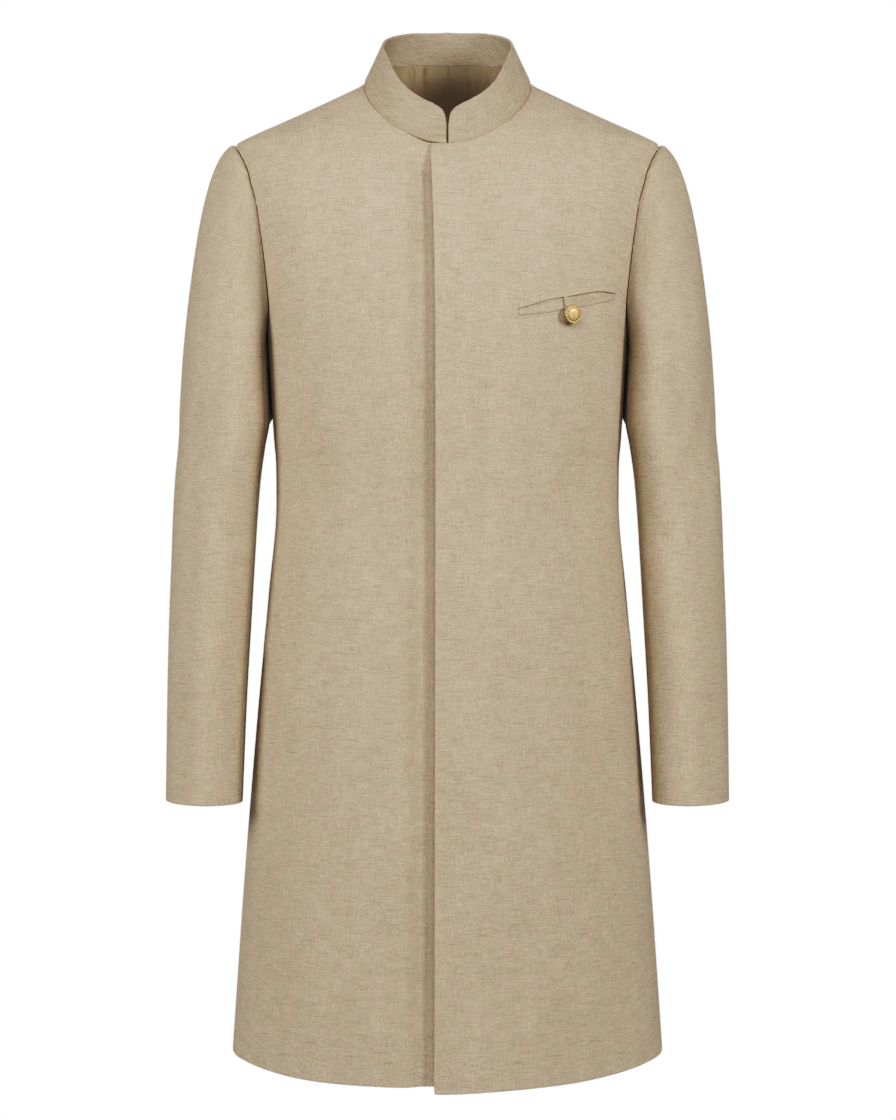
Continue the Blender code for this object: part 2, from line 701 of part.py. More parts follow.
def jet_points(lower):
    """Outer points, normals and wall of the upper or the lower jet of the breast pocket."""
    x = np.linspace(POCKET[0][0], POCKET[-1][0], JET_COLUMNS + 1)
    top, upper_lip, lower_lip, bottom = (curve_through(POCKET, i)(x) for i in range(1, 5))
    z = np.stack([bottom, lower_lip] if lower else [upper_lip, top])
    points = front_point(np.broadcast_to(x, z.shape), z)
    normals = bust_normal(points)
    return points + (SEAM + JET_WALL) * normals, normals, JET_WALL


def tab_points():
    """Outer points, normals and wall of the tab, from the pocket's slit to behind the button."""
    shares = np.linspace(0, 1, TAB_ROWS + 1)[:, None]
    left = TAB_END[0] + (TAB_TOP[0] - TAB_END[0]) * shares
    right = TAB_END[1] + (TAB_TOP[1] - TAB_END[1]) * shares
    x = left + (right - left) * np.linspace(0, 1, TAB_COLUMNS + 1)
    z = TAB_END[2] + (TAB_TOP[2] - TAB_END[2]) * shares + 0 * x
    points = front_point(x, z)
    normals = bust_normal(points)
    return points + (TAB_LIFT + TAB_WALL) * normals, normals, TAB_WALL


# ---------------------------------------------------------------- objects


def new_coat():
    """Clears the scene, and gives the collection and the empty that hold the coat's pieces."""
    for obj in list(bpy.data.objects):
        bpy.data.objects.remove(obj)
    collection = bpy.data.collections.new("sherwani_coat")
    bpy.context.scene.collection.children.link(collection)
    neck = bpy.data.objects.new("neck", None)
    collection.objects.link(neck)
    return neck


def add_piece(name, mesh, kind, neck):
    """An object for this mesh, with a material of its own, held by the empty at the neck."""
    red, green, blue, roughness, metallic = MATERIALS[kind]
    material = bpy.data.materials.new(name)
    material.use_nodes = True
    shader = material.node_tree.nodes["Principled BSDF"]
    shader.inputs["Base Color"].default_value = (red, green, blue, 1)
    shader.inputs["Roughness"].default_value = roughness
    shader.inputs["Metallic"].default_value = metallic
    material.diffuse_color = (red, green, blue, 1)
    mesh.materials.append(material)
    piece = bpy.data.objects.new(name, mesh)
    piece.parent = neck
    neck.users_collection[0].objects.link(piece)
    return piece


def add_quad(cage, a, b, c, d):
    """Two triangles split along the shorter diagonal, so that facing walls are split alike."""
    if (a.co - c.co).length < (b.co - d.co).length:
        halves = ((a, b, c), (a, c, d))
    else:
        halves = ((a, b, d), (b, c, d))
    for half in halves:
        cage.faces.new(half)


def add_wall(name, surface, kind, neck, mirrored=False):
    """A piece of cloth: a closed wall between the outer points and the same points moved in."""
    points, normals, wall = surface
    inner = points - np.broadcast_to(wall, points.shape[:2])[..., None] * normals
    if mirrored:
        points, inner = points * MIRROR_X, inner * MIRROR_X
    rows, columns = points.shape[:2]
    cage = bmesh.new()
    outside = [[cage.verts.new(p * MM) for p in row] for row in points]
    inside = [[cage.verts.new(p * MM) for p in row] for row in inner]
    for layer in (outside, inside):
        for low, high in zip(layer, layer[1:]):
            for i in range(columns - 1):
                add_quad(cage, low[i], low[i + 1], high[i + 1], high[i])
    border = [(0, i) for i in range(columns)]
    border += [(j, columns - 1) for j in range(1, rows)]
    border += [(rows - 1, i) for i in range(columns - 2, -1, -1)]
    border += [(j, 0) for j in range(rows - 2, 0, -1)]
    for (j, i), (next_j, next_i) in zip(border, border[1:] + border[:1]):
        add_quad(cage, outside[j][i], outside[next_j][next_i], inside[next_j][next_i], inside[j][i])
    bmesh.ops.recalc_face_normals(cage, faces=cage.faces)
    mesh = bpy.data.meshes.new(name)
    cage.to_mesh(mesh)
    cage.free()
    mesh.shade_smooth()
    mesh.set_sharp_from_angle(angle=np.radians(SMOOTH_ANGLE))
    return add_piece(name, mesh, kind, neck)


def add_button(name, neck):
    """The metal button: a turned shank and domed head, standing on the pocket's tab."""
    profile = bmesh.new()
    corners = [profile.verts.new((r * MM, 0, h * MM)) for r, h in reversed(BUTTON_PROFILE)]
    corners.append(profile.verts.new((0, 0, 0)))
    for above, below in zip(corners, corners[1:]):
        profile.edges.new((above, below))
    mesh = bpy.data.meshes.new(name)
    profile.to_mesh(mesh)
    profile.free()
    button = add_piece(name, mesh, "brass", neck)
    turn = button.modifiers.new("turn", "SCREW")
    turn.steps = turn.render_steps = BUTTON_STEPS
    turn.use_merge_vertices = True
    turn.merge_threshold = WELD
    turn.use_smooth_shade = True
    seat = front_point(BUTTON_X, BUTTON_Z)
    normal = bust_normal(seat)
    button.location = (seat + (TAB_LIFT + TAB_WALL + SEAM) * normal) * MM
    button.rotation_mode = "QUATERNION"
    button.rotation_quaternion = Vector(normal).to_track_quat("Z", "Y")
    return button


def build():
    neck = new_coat()
    lines = np.arange(2 * ARM_ROWS + 1)
    under = lines[FOREARM_SEAM : HINDARM_SEAM + 1]
    upper = np.concatenate([lines[HINDARM_SEAM:-1], lines[: FOREARM_SEAM + 1]])
    add_wall("front_left", front_points(over=True), "cloth", neck)
    add_wall("front_right", front_points(over=False), "cloth", neck, mirrored=True)
    for side, mirrored in (("left", False), ("right", True)):
        add_wall(f"back_{side}", back_points(), "cloth", neck, mirrored)
        add_wall(f"sleeve_upper_{side}", sleeve_points(upper), "cloth", neck, mirrored)
        add_wall(f"sleeve_under_{side}", sleeve_points(under), "cloth", neck, mirrored)
        add_wall(f"side_pocket_{side}", bag_points(), "lining", neck, mirrored)
        add_wall(f"neck_lining_{side}", lining_points(), "lining", neck, mirrored)
    add_wall("collar", collar_points(), "cloth", neck)
    add_wall("pocket_jet_upper", jet_points(lower=False), "cloth", neck)
    add_wall("pocket_jet_lower", jet_points(lower=True), "cloth", neck)
    add_wall("pocket_tab", tab_points(), "cloth", neck)
    add_button("pocket_button", neck)


build()
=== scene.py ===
import bmesh
import bpy
import numpy as np
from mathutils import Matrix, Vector


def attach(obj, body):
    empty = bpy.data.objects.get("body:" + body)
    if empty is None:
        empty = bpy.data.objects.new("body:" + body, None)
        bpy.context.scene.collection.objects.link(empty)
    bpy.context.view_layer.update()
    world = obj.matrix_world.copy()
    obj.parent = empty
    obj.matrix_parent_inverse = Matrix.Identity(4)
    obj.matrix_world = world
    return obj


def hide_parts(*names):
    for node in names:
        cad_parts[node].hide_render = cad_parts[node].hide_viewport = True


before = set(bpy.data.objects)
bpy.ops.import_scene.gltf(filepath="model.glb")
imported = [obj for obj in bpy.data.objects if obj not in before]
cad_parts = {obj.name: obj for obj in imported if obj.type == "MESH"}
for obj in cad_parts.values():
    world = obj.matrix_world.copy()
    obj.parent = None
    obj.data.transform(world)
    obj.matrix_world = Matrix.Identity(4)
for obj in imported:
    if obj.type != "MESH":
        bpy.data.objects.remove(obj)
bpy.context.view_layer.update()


# ---------------------------------------------------------------- the backs
# Two panels of a slubbed linen suiting, seamed down the centre back, drawn in at the waist and
# flared to the knee. The hem is turned up by hand, so nothing of it shows but its soft fold.
# The coat has no wearer: it keeps its shape over a bust that isn't there.

MM = 0.001
CLOTH = 2.2
SEAM = 0.3  # gap between two pieces along a seam
TIGHT_SEAM = 0.01  # half the gap at the centre back, where light would show through a wider one
HEM_Z = -988.0
UNDERARM_Z = -270.0
SHOULDER_TIP_Z = -64.5
MIRROR_X = np.array([-1.0, 1.0, 1.0])
SIDES = (("left", False), ("right", True))  # each side, and whether it is made by mirroring

# Sections of the bust the coat is cut for, in mm: front and back are depths from side_y, and
# square is the exponent of the rounded section
BUST = (
    # z, half_width, front, back, side_y, square
    (36.0, 75.0, 8.0, 72.0, 5.0, 2.00),
    (22.0, 82.0, 9.0, 72.0, 5.0, 1.95),
    (8.0, 85.0, 10.0, 76.0, 5.0, 1.80),
    (0.0, 85.4, 12.0, 81.0, 5.0, 1.70),
    (-3.0, 88.0, 16.0, 83.0, 5.0, 1.67),
    (-11.3, 104.0, 27.0, 88.0, 5.0, 1.66),
    (-27.6, 138.5, 43.0, 94.0, 5.0, 1.66),
    (-44.0, 174.5, 57.0, 99.0, 5.0, 1.70),
    (-57.0, 203.0, 67.5, 102.5, 5.0, 1.76),
    (-64.5, 216.0, 72.5, 104.7, 5.0, 1.81),
    (-77.0, 220.0, 80.0, 108.0, 4.8, 1.92),
    (-90.0, 220.5, 88.0, 111.0, 4.5, 2.02),
    (-108.0, 217.5, 96.0, 115.0, 4.0, 2.13),
    (-130.0, 210.5, 104.0, 118.5, 3.3, 2.22),
    (-160.0, 203.5, 111.0, 121.5, 2.5, 2.30),
    (-195.0, 195.5, 116.0, 122.5, 1.5, 2.34),
    (-230.0, 188.5, 119.0, 121.5, 0.6, 2.36),
    (-270.0, 182.5, 120.0, 119.0, 0.0, 2.36),
    (-340.0, 178.0, 117.5, 113.0, 0.0, 2.36),
    (-366.0, 176.3, 116.0, 111.0, 0.0, 2.36),
    (-392.0, 174.3, 114.5, 109.5, 0.0, 2.35),
    (-430.0, 173.9, 113.5, 108.5, 0.0, 2.34),
    (-520.0, 181.5, 119.0, 118.0, 0.0, 2.28),
    (-640.0, 192.6, 129.0, 131.0, 0.0, 2.22),
    (-800.0, 205.6, 140.5, 141.0, 0.0, 2.16),
    (-988.0, 218.6, 151.0, 149.0, 0.0, 2.12),
    (-1000.0, 219.4, 151.6, 149.5, 0.0, 2.12),
)
SIDE_SEAM = (
    # z, angle round the bust from the centre front
    (-1000.0, 85.0),
    (-800.0, 84.0),
    (-590.0, 82.5),
    (-430.0, 84.0),
    (-340.0, 88.0),
    (-270.0, 90.0),
)
BACK_ARMHOLE = (
    # z, angle from the centre back
    (-270.0, 90.0),
    (-267.3, 84.5),
    (-262.0, 79.5),
    (-248.0, 74.0),
    (-232.0, 71.0),
    (-200.0, 68.8),
    (-165.0, 67.5),
    (-125.0, 67.3),
    (-102.0, 69.0),
    (-88.0, 72.5),
    (-76.0, 77.5),
    (-68.0, 83.0),
    (-64.5, 90.0),
)
NECK_BACK = (
    # share of the way from the centre back to the shoulder seam, x, z
    (0.0, 0.0, 33.5),
    (0.3, 27.0, 33.2),
    (0.6, 54.0, 30.2),
    (0.75, 66.5, 25.5),
    (0.87, 75.5, 17.5),
    (0.94, 80.0, 10.0),
    (1.0, 85.4, 0.0),
)
HEM = (
    # angle, z of the right front and the backs, z of the left front
    (-10.0, -988.6, -994.8),
    (0.0, -988.6, -994.4),
    (11.0, -988.6, -992.6),
    (22.0, -988.6, -990.8),
    (32.0, -988.4, -989.4),
    (42.0, -987.4, -987.4),
    (54.0, -985.2, -985.2),
    (68.0, -983.4, -983.4),
    (90.0, -983.4, -983.4),
)
HEM_FADE = 250.0
LEVELS = np.linspace(HEM_Z, UNDERARM_Z, 121)
ARM_ROWS = 60
SHOULDER_STEPS = 20
SHOULDER_SPREAD = 1.4
BACK_NECK_STEPS = 24
TOP_SPREAD = 6
EDGE_LINES = np.array([0.0, 0.06, 0.14, 0.26, 0.42, 0.66])  # extra lines by each edge of a panel
INWARD = len(EDGE_LINES)  # how many lines in from an edge the plain grid starts
UPRIGHT_Z = -150.0  # from here up the grain on the body is square to the chest
ARMHOLE_POINTS = 400  # how finely half an armhole is measured, before it is cut evenly
SHARP_TURN = 50  # degrees between two faces, over which their edge is left sharp
STEADY = 0.1  # keeps the upright direction steady where the cloth faces sideways

# How an edge is made: radius it turns with outside and inside, then depth and width of the dip
FOLDED = (1.1, 1.1, 0.0, 1.0)
SEAMED = (0.6, 0.0, 0.7, 2.4)

# Soft folds: across, up, direction in degrees, reach, half width, lift
BACK_FOLDS = (
    (-118.0, -205.0, 62.0, 55.0, 16.0, 0.9),
    (-92.0, -236.0, 55.0, 48.0, 12.0, -0.8),
    (122.0, -212.0, 116.0, 60.0, 15.0, 1.0),
    (99.0, -250.0, 124.0, 42.0, 13.0, -0.7),
    (-60.0, -404.0, 8.0, 64.0, 10.0, 0.7),
    (34.0, -421.0, -6.0, 72.0, 11.0, 0.8),
    (-22.0, -440.0, 3.0, 60.0, 9.0, -0.6),
    (112.0, -398.0, -14.0, 40.0, 10.0, 0.6),
    (-70.0, -700.0, 84.0, 190.0, 30.0, 1.4),
    (58.0, -735.0, 95.0, 210.0, 34.0, 1.6),
    (-128.0, -760.0, 82.0, 170.0, 22.0, -1.0),
    (132.0, -720.0, 99.0, 160.0, 24.0, -0.9),
    (20.0, 12.0, 4.0, 46.0, 7.0, -0.5),
)


def curve_through(table, column):
    """A smooth curve through one column of a table, over its first column."""
    rows = sorted(table)
    at = np.array([row[0] for row in rows])
    values = np.array([row[column] for row in rows])
    step = np.diff(at)
    slope = np.diff(values) / step
    tangent = np.concatenate([slope[:1], np.zeros(len(step) - 1), slope[-1:]])
    rising = slope[:-1] * slope[1:] > 0
    before, after = step[:-1][rising], step[1:][rising]
    tangent[1:-1][rising] = (3 * (before + after)) / (
        (2 * after + before) / slope[:-1][rising] + (after + 2 * before) / slope[1:][rising]
    )

    def curve(x):
        x = np.asarray(x, float)
        i = np.clip(np.searchsorted(at, x) - 1, 0, len(step) - 1)
        t = np.clip((x - at[i]) / step[i], 0, 1)
        return (
            values[i] * (1 + 2 * t) * (1 - t) ** 2
            + values[i + 1] * t**2 * (3 - 2 * t)
            + step[i] * t * (1 - t) * (tangent[i] * (1 - t) - tangent[i + 1] * t)
        )

    return curve


def ease(x, start, end):
    t = np.clip((np.asarray(x, float) - start) / (end - start), 0, 1)
    return t * t * (3 - 2 * t)


half_width, front_depth, back_depth, side_y, square = (curve_through(BUST, i) for i in range(1, 6))
seam_angle = curve_through(SIDE_SEAM, 1)
hem_z, over_hem_z = curve_through(HEM, 1), curve_through(HEM, 2)
neck_back_x, neck_back_z = curve_through(NECK_BACK, 1), curve_through(NECK_BACK, 2)


def on_bust(angle, z):
    """Points of the bust's surface, in mm, at these angles from the centre front and heights."""
    turn = np.radians(angle)
    power = 2 / square(z)
    depth = np.where(np.abs(angle) <= 90, front_depth(z), back_depth(z))
    x = half_width(z) * np.sign(np.sin(turn)) * np.abs(np.sin(turn)) ** power
    y = side_y(z) - depth * np.sign(np.cos(turn)) * np.abs(np.cos(turn)) ** power
    return np.stack([x, y, z + 0 * x], axis=-1)


def unit(vectors):
    """The same vectors, each of length 1."""
    return vectors / np.linalg.norm(vectors, axis=-1, keepdims=True)


def depth_at(y, z):
    """How far y is behind the side line, and how deep the bust is on that side of it."""
    away = y - side_y(z)
    return away, np.where(away <= 0, front_depth(z), back_depth(z))


def bust_normal(points):
    x, y, z = points[..., 0], points[..., 1], points[..., 2]

    def level(height):
        away, depth = depth_at(y, height)
        power = square(height)
        return np.abs(x / half_width(height)) ** power + np.abs(away / depth) ** power

    away, depth = depth_at(y, z)
    power = square(z)
    slope_x = power * np.sign(x) * np.abs(x / half_width(z)) ** (power - 1) / half_width(z)
    slope_y = power * np.sign(away) * np.abs(away / depth) ** (power - 1) / depth
    slope_z = level(z + 0.5) - level(z - 0.5)
    normal = np.stack([slope_x, slope_y, slope_z], axis=-1)
    return unit(normal)


def angle_of(x, z):
    """The front angle at which the bust is x wide at height z."""
    share = np.clip(np.abs(x) / half_width(z), 0, 1)
    return np.sign(x) * np.degrees(np.arcsin(share ** (square(z) / 2)))


def armhole_line(table, back):
    """Angles and heights evenly spaced along half the armhole, from underarm to shoulder tip."""
    table = [(i, *row) for i, row in enumerate(table)]
    fine = np.linspace(0, len(table) - 1, ARMHOLE_POINTS)
    z, angle = curve_through(table, 1)(fine), curve_through(table, 2)(fine)
    points = on_bust(180 - angle if back else angle, z)
    length = np.concatenate([[0], np.cumsum(np.linalg.norm(np.diff(points, axis=0), axis=1))])
    even = np.linspace(0, length[-1], ARM_ROWS + 1)
    return np.interp(even, length, angle), np.interp(even, length, z)


def panel_grid(start, top_x, top_z, armhole, side_angle):
    """Angles and heights of a body panel: rows from the hem up, columns from x = start to its side.

    The columns end on the neckline at top_x, top_z, and the last ones on the shoulder seam.
    """
    arm_angle, arm_z = armhole[0][:, None], armhole[1][:, None]
    shoulder_z = SHOULDER_TIP_Z * np.linspace(0, 1, SHOULDER_STEPS + 1)[1:] ** SHOULDER_SPREAD
    end_z = np.concatenate([top_z, shoulder_z])
    end_angle = np.concatenate([angle_of(top_x, top_z), np.full(SHOULDER_STEPS, 90.0)])
    across = np.linspace(0, 1, len(end_z))
    levels = LEVELS[:-1, None]
    first = angle_of(start, levels)
    below = first + (side_angle(levels) - first) * across
    up = np.linspace(0, 1, ARM_ROWS + 1)[:, None]
    start_z = UNDERARM_Z + (end_z[0] - UNDERARM_Z) * up
    first = angle_of(start, start_z)
    z = (1 - across) * start_z + across * arm_z
    z = z + up * (end_z - (1 - across) * end_z[0] - across * end_z[-1])
    spread_top = (end_angle - end_angle[0]) / (90 - end_angle[0])
    share = (1 - up**TOP_SPREAD) * across + up**TOP_SPREAD * spread_top
    angles = np.vstack([below, first + (arm_angle - first) * share])
    return angles, np.vstack([levels + 0 * across, z])


def follow_hem(angles, heights, line):
    return heights + (line(angles) - HEM_Z) * (1 - ease(heights, HEM_Z, HEM_Z + HEM_FADE))


def with_edge_lines(grid):
    """The grid with extra lines close to its four edges, where the cloth turns."""
    for axis in (0, 1):
        last = grid.shape[axis] - 1
        at = np.concatenate([EDGE_LINES, np.arange(1, last), last - EDGE_LINES[::-1]])
        low = np.minimum(at.astype(int), last - 1)
        share = (at - low).reshape([-1 if i == axis else 1 for i in range(grid.ndim)])
        grid = np.take(grid, low, axis) * (1 - share) + np.take(grid, low + 1, axis) * share
    return grid


def run_lengths(points, axis):
    """Lengths along a grid's lines from their start."""
    steps = np.linalg.norm(np.diff(points, axis=axis), axis=-1)
    nothing = np.zeros_like(np.take(steps, [0], axis))
    return np.cumsum(np.concatenate([nothing, steps], axis=axis), axis=axis)


def draw_in(points, edges, by=SEAM / 2):
    """Draws the named edges of a grid in along the cloth, to leave half a seam's gap."""
    points = points.copy()
    for axis, edge in edges:
        line = np.moveaxis(points, axis, 0)
        way = line[1 if edge == 0 else -2] - line[edge]
        line[edge] += by * way / np.linalg.norm(way, axis=-1, keepdims=True)
    return points


def fold_lift(folds, across, up):
    """How far soft folds lift the cloth: ridges where their lift is over 0, else troughs."""
    lift = np.zeros(np.broadcast(across, up).shape)
    for x, z, direction, reach, width, height in folds:
        cosine, sine = np.cos(np.radians(direction)), np.sin(np.radians(direction))
        along = (across - x) * cosine + (up - z) * sine
        aside = (up - z) * cosine - (across - x) * sine
        lift += height * np.exp(-((along / reach) ** 2) - (aside / width) ** 2)
    return lift


def cloth_faces(points, normals, wall, edges, lift):
    """The outer and inner face of a piece, its edges turned under or drawn down in their seams."""
    up, along = run_lengths(points, 0), run_lengths(points, 1)
    turned, turned_in, dip = 0 * up, 0 * up, 0 * up
    away = (up, up[-1] - up, along, along[:, -1:] - along)
    for distance, (radius, inner_radius, depth, width) in zip(away, edges):
        short = np.clip(radius - distance, 0, None)
        turned = np.maximum(turned, radius - np.sqrt(radius**2 - short**2))
        short = np.clip(inner_radius - distance, 0, None)
        turned_in = np.maximum(turned_in, inner_radius - np.sqrt(inner_radius**2 - short**2))
        dip = np.maximum(dip, depth * np.exp(-((distance / width) ** 2)))
    outer = points + (lift - turned - dip)[..., None] * normals
    inner = points + (lift - wall + turned_in)[..., None] * normals
    return outer, inner


def weave_place(points, middle_row):
    """Where each point lies on the flat cloth, in metres: across the grain, and up along it."""
    up = run_lengths(points, 0)
    up = up - up[middle_row]
    along = unit(np.gradient(points, axis=0))[:, 1:]
    steps = np.diff(points, axis=1)
    steps = np.linalg.norm(steps - (steps * along).sum(-1, keepdims=True) * along, axis=-1)
    across = np.cumsum(np.hstack([0 * steps[:, :1], steps]), axis=1)
    return np.stack([across, up], axis=-1) * MM


def upright_weave(points, normals, middle_row):
    """The weave's place on a body panel, its grain kept upright and level above the armhole's foot."""
    place = weave_place(points, middle_row)
    row = int(np.argmin(np.abs(points[:, 0, 2] - UNDERARM_Z)))
    x = points[..., 0]
    high = ease(points[..., 2], UNDERARM_Z, UPRIGHT_Z)
    place[..., 0] += high * ((x - x[row, 0]) * MM - place[..., 0])
    out, lean = normals[row:, :, 1], normals[row:, :, 2]
    upright = np.stack([0 * out, -np.sign(out) * lean, np.abs(out) + STEADY], axis=-1)
    upright = unit(upright)
    steps = (np.diff(points[row:], axis=0) * 0.5 * (upright[1:] + upright[:-1])).sum(-1)
    place[row + 1 :, :, 1] = place[row, :, 1] + np.cumsum(steps, axis=0) * MM
    return place


def add_cloth(name, outer, inner, place, material, mirrored=False):
    """A piece of cloth as one closed shell between its two faces, all in mm."""
    rows, columns = outer.shape[:2]
    corners = np.concatenate([outer.reshape(-1, 3), inner.reshape(-1, 3)])
    number = np.arange(rows * columns).reshape(rows, columns)
    quads = np.stack([number[:-1, :-1], number[:-1, 1:], number[1:, 1:], number[1:, :-1]], axis=-1)
    quads = quads.reshape(-1, 4)
    border = np.concatenate([number[0], number[1:, -1], number[-1, -2::-1], number[-2:0:-1, 0]])
    following = np.roll(border, -1)
    shift = rows * columns
    rim = np.stack([following, border, border + shift, following + shift], axis=-1)
    faces = np.concatenate([quads, quads[:, ::-1] + shift, rim])
    thick = (outer - inner).reshape(-1, 3)
    a, b, c = (corners[quads[:, i]] for i in range(3))
    outwards = (np.cross(b - a, c - a) * thick[quads[:, 0]]).sum() > 0
    if mirrored:
        corners = corners * MIRROR_X
    if outwards == mirrored:
        faces = faces[:, ::-1]
    mesh = bpy.data.meshes.new(name)
    mesh.from_pydata(corners * MM, [], faces.tolist())
    flat = np.concatenate([place.reshape(-1, 2)] * 2)
    uv = mesh.uv_layers.new(name="weave")
    uv.data.foreach_set("uv", flat[faces.reshape(-1)].astype(np.float32).ravel())
    cage = bmesh.new()
    cage.from_mesh(mesh)
    bmesh.ops.remove_doubles(cage, verts=cage.verts, dist=0.00001)
    bmesh.ops.dissolve_degenerate(cage, edges=cage.edges, dist=0.000001)
    cage.to_mesh(mesh)
    cage.free()
    mesh.shade_smooth()
    mesh.set_sharp_from_angle(angle=np.radians(SHARP_TURN))
    mesh.materials.append(material)
    piece = bpy.data.objects.new(name, mesh)
    bpy.context.collection.objects.link(piece)
    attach(piece, "root")
    return piece


def worn_x(points, mirrored):
    """x as the piece is worn, for folds that aren't the same on both sides."""
    return -points[..., 0] if mirrored else points[..., 0]


def new_material(name, colour, finish):
    """A material with its nodes, links and shader, which has this colour and finish."""
    material = bpy.data.materials.new(name)
    material.use_nodes = True
    nodes, links = material.node_tree.nodes, material.node_tree.links
    shader = nodes["Principled BSDF"]
    shader.inputs["Base Color"].default_value = (*colour, 1)
    for socket, value in finish.items():
        shader.inputs[socket].default_value = value
    return material, nodes, links, shader


def add_math(nodes, links, operation, *values):
    """A Math node's result from sockets or numbers."""
    node = nodes.new("ShaderNodeMath")
    node.operation = operation
    for socket, value in zip(node.inputs, values):
        if isinstance(value, (int, float)):
            socket.default_value = value
        else:
            links.new(value, socket)
    return node.outputs[0]


def add_range(nodes, links, value, span, result, kind="LINEAR"):
    """A value brought from one span of numbers to another, and held at its ends."""
    node = nodes.new("ShaderNodeMapRange")
    node.interpolation_type = kind
    for socket, number in zip(("From Min", "From Max", "To Min", "To Max"), (*span, *result)):
        node.inputs[socket].default_value = number
    links.new(value, node.inputs["Value"])
    return node.outputs["Result"]


def weave_coordinates(nodes):
    """The flat cloth's own coordinates, in metres."""
    weave = nodes.new("ShaderNodeUVMap")
    weave.uv_map = "weave"
    return weave.outputs[0]


def set_shaded_colour(nodes, links, shader, colour, tone):
    """Gives the shader a colour, a socket or three numbers, made lighter or darker by tone."""
    shaded = nodes.new("ShaderNodeVectorMath")
    shaded.operation = "SCALE"
    if isinstance(colour, tuple):
        shaded.inputs[0].default_value = colour
    else:
        links.new(colour, shaded.inputs[0])
    links.new(tone, shaded.inputs["Scale"])
    links.new(shaded.outputs[0], shader.inputs["Base Color"])


def set_relief(nodes, links, shader, height, depth):
    bump = nodes.new("ShaderNodeBump")
    bump.inputs["Distance"].default_value = depth
    links.new(height, bump.inputs["Height"])
    links.new(bump.outputs[0], shader.inputs["Normal"])


def add_yarn_noise(nodes, links, place, across, up, detail, lean=0.0):
    """Noise with grains this wide and high, in metres, on the flat cloth, leaning by some degrees."""
    spread = nodes.new("ShaderNodeMapping")
    spread.vector_type = "TEXTURE"
    spread.inputs["Scale"].default_value = (across, up, 1)
    spread.inputs["Rotation"].default_value = (0, 0, np.radians(lean))
    noise = nodes.new("ShaderNodeTexNoise")
    noise.inputs["Scale"].default_value = 1
    noise.inputs["Detail"].default_value = detail
    links.new(place, spread.inputs["Vector"])
    links.new(spread.outputs[0], noise.inputs["Vector"])
    return noise.outputs["Fac"]


LINEN = (0.50, 0.409, 0.300)
YARN_NOISES = (
    # grain across and up in metres, detail, lean, how much lighter and darker it makes the yarns
    (0.0010, 0.0030, 1.0, 48.0, 0.42),  # the twill's short slanting floats
    (0.0010, 0.0030, 1.0, -48.0, 0.42),
    (0.0140, 0.0013, 2.0, 0.0, 0.52),  # thick and thin weft yarns
    (0.0013, 0.0170, 2.0, 0.0, 0.36),  # warp
    (0.0065, 0.0045, 2.0, 0.0, 0.16),
    (0.0340, 0.0070, 1.0, 0.0, 0.15),  # short bands of slacker weave
    (0.0190, 0.2600, 1.0, 0.0, 0.09),  # bars of paler and darker warp
    (0.0450, 0.0900, 2.0, 0.0, 0.10),  # broad, faint unevenness
)
LINEN_FINISH = {"Roughness": 0.75, "Specular IOR Level": 0.15, "Sheen Weight": 0.03, "Sheen Roughness": 0.5}
SLUB_GRAIN = (0.034, 0.0015, 1.0)
SLUB_SPAN = (0.64, 0.74)  # the noise over which a slub starts to show, and shows in full
SLUB_DARK = 0.2
NEPS = (38, 0.024, 0.28)  # dark specks: how close they lie, their size and how dark they are
LINEN_WARM = (1.07, 0.968, 1.0)  # patches a little warmer or cooler than the rest
LINEN_COOL = (0.93, 1.032, 1.0)
HUE_GRAIN = (0.016, 0.016, 2.0)
YARN_PITCH = 0.0011
YARN_RELIEF = 0.00016
TWILL_RELIEF = 0.35  # how much of the relief is the crossing of the yarns
PATTERN_GRAIN = (0.013, 0.013, 3.0)  # patches where the crossing of the yarns shows as fine dots
PATTERN_SPAN = (0.44, 0.72)
PATTERN_CONTRAST = 0.65


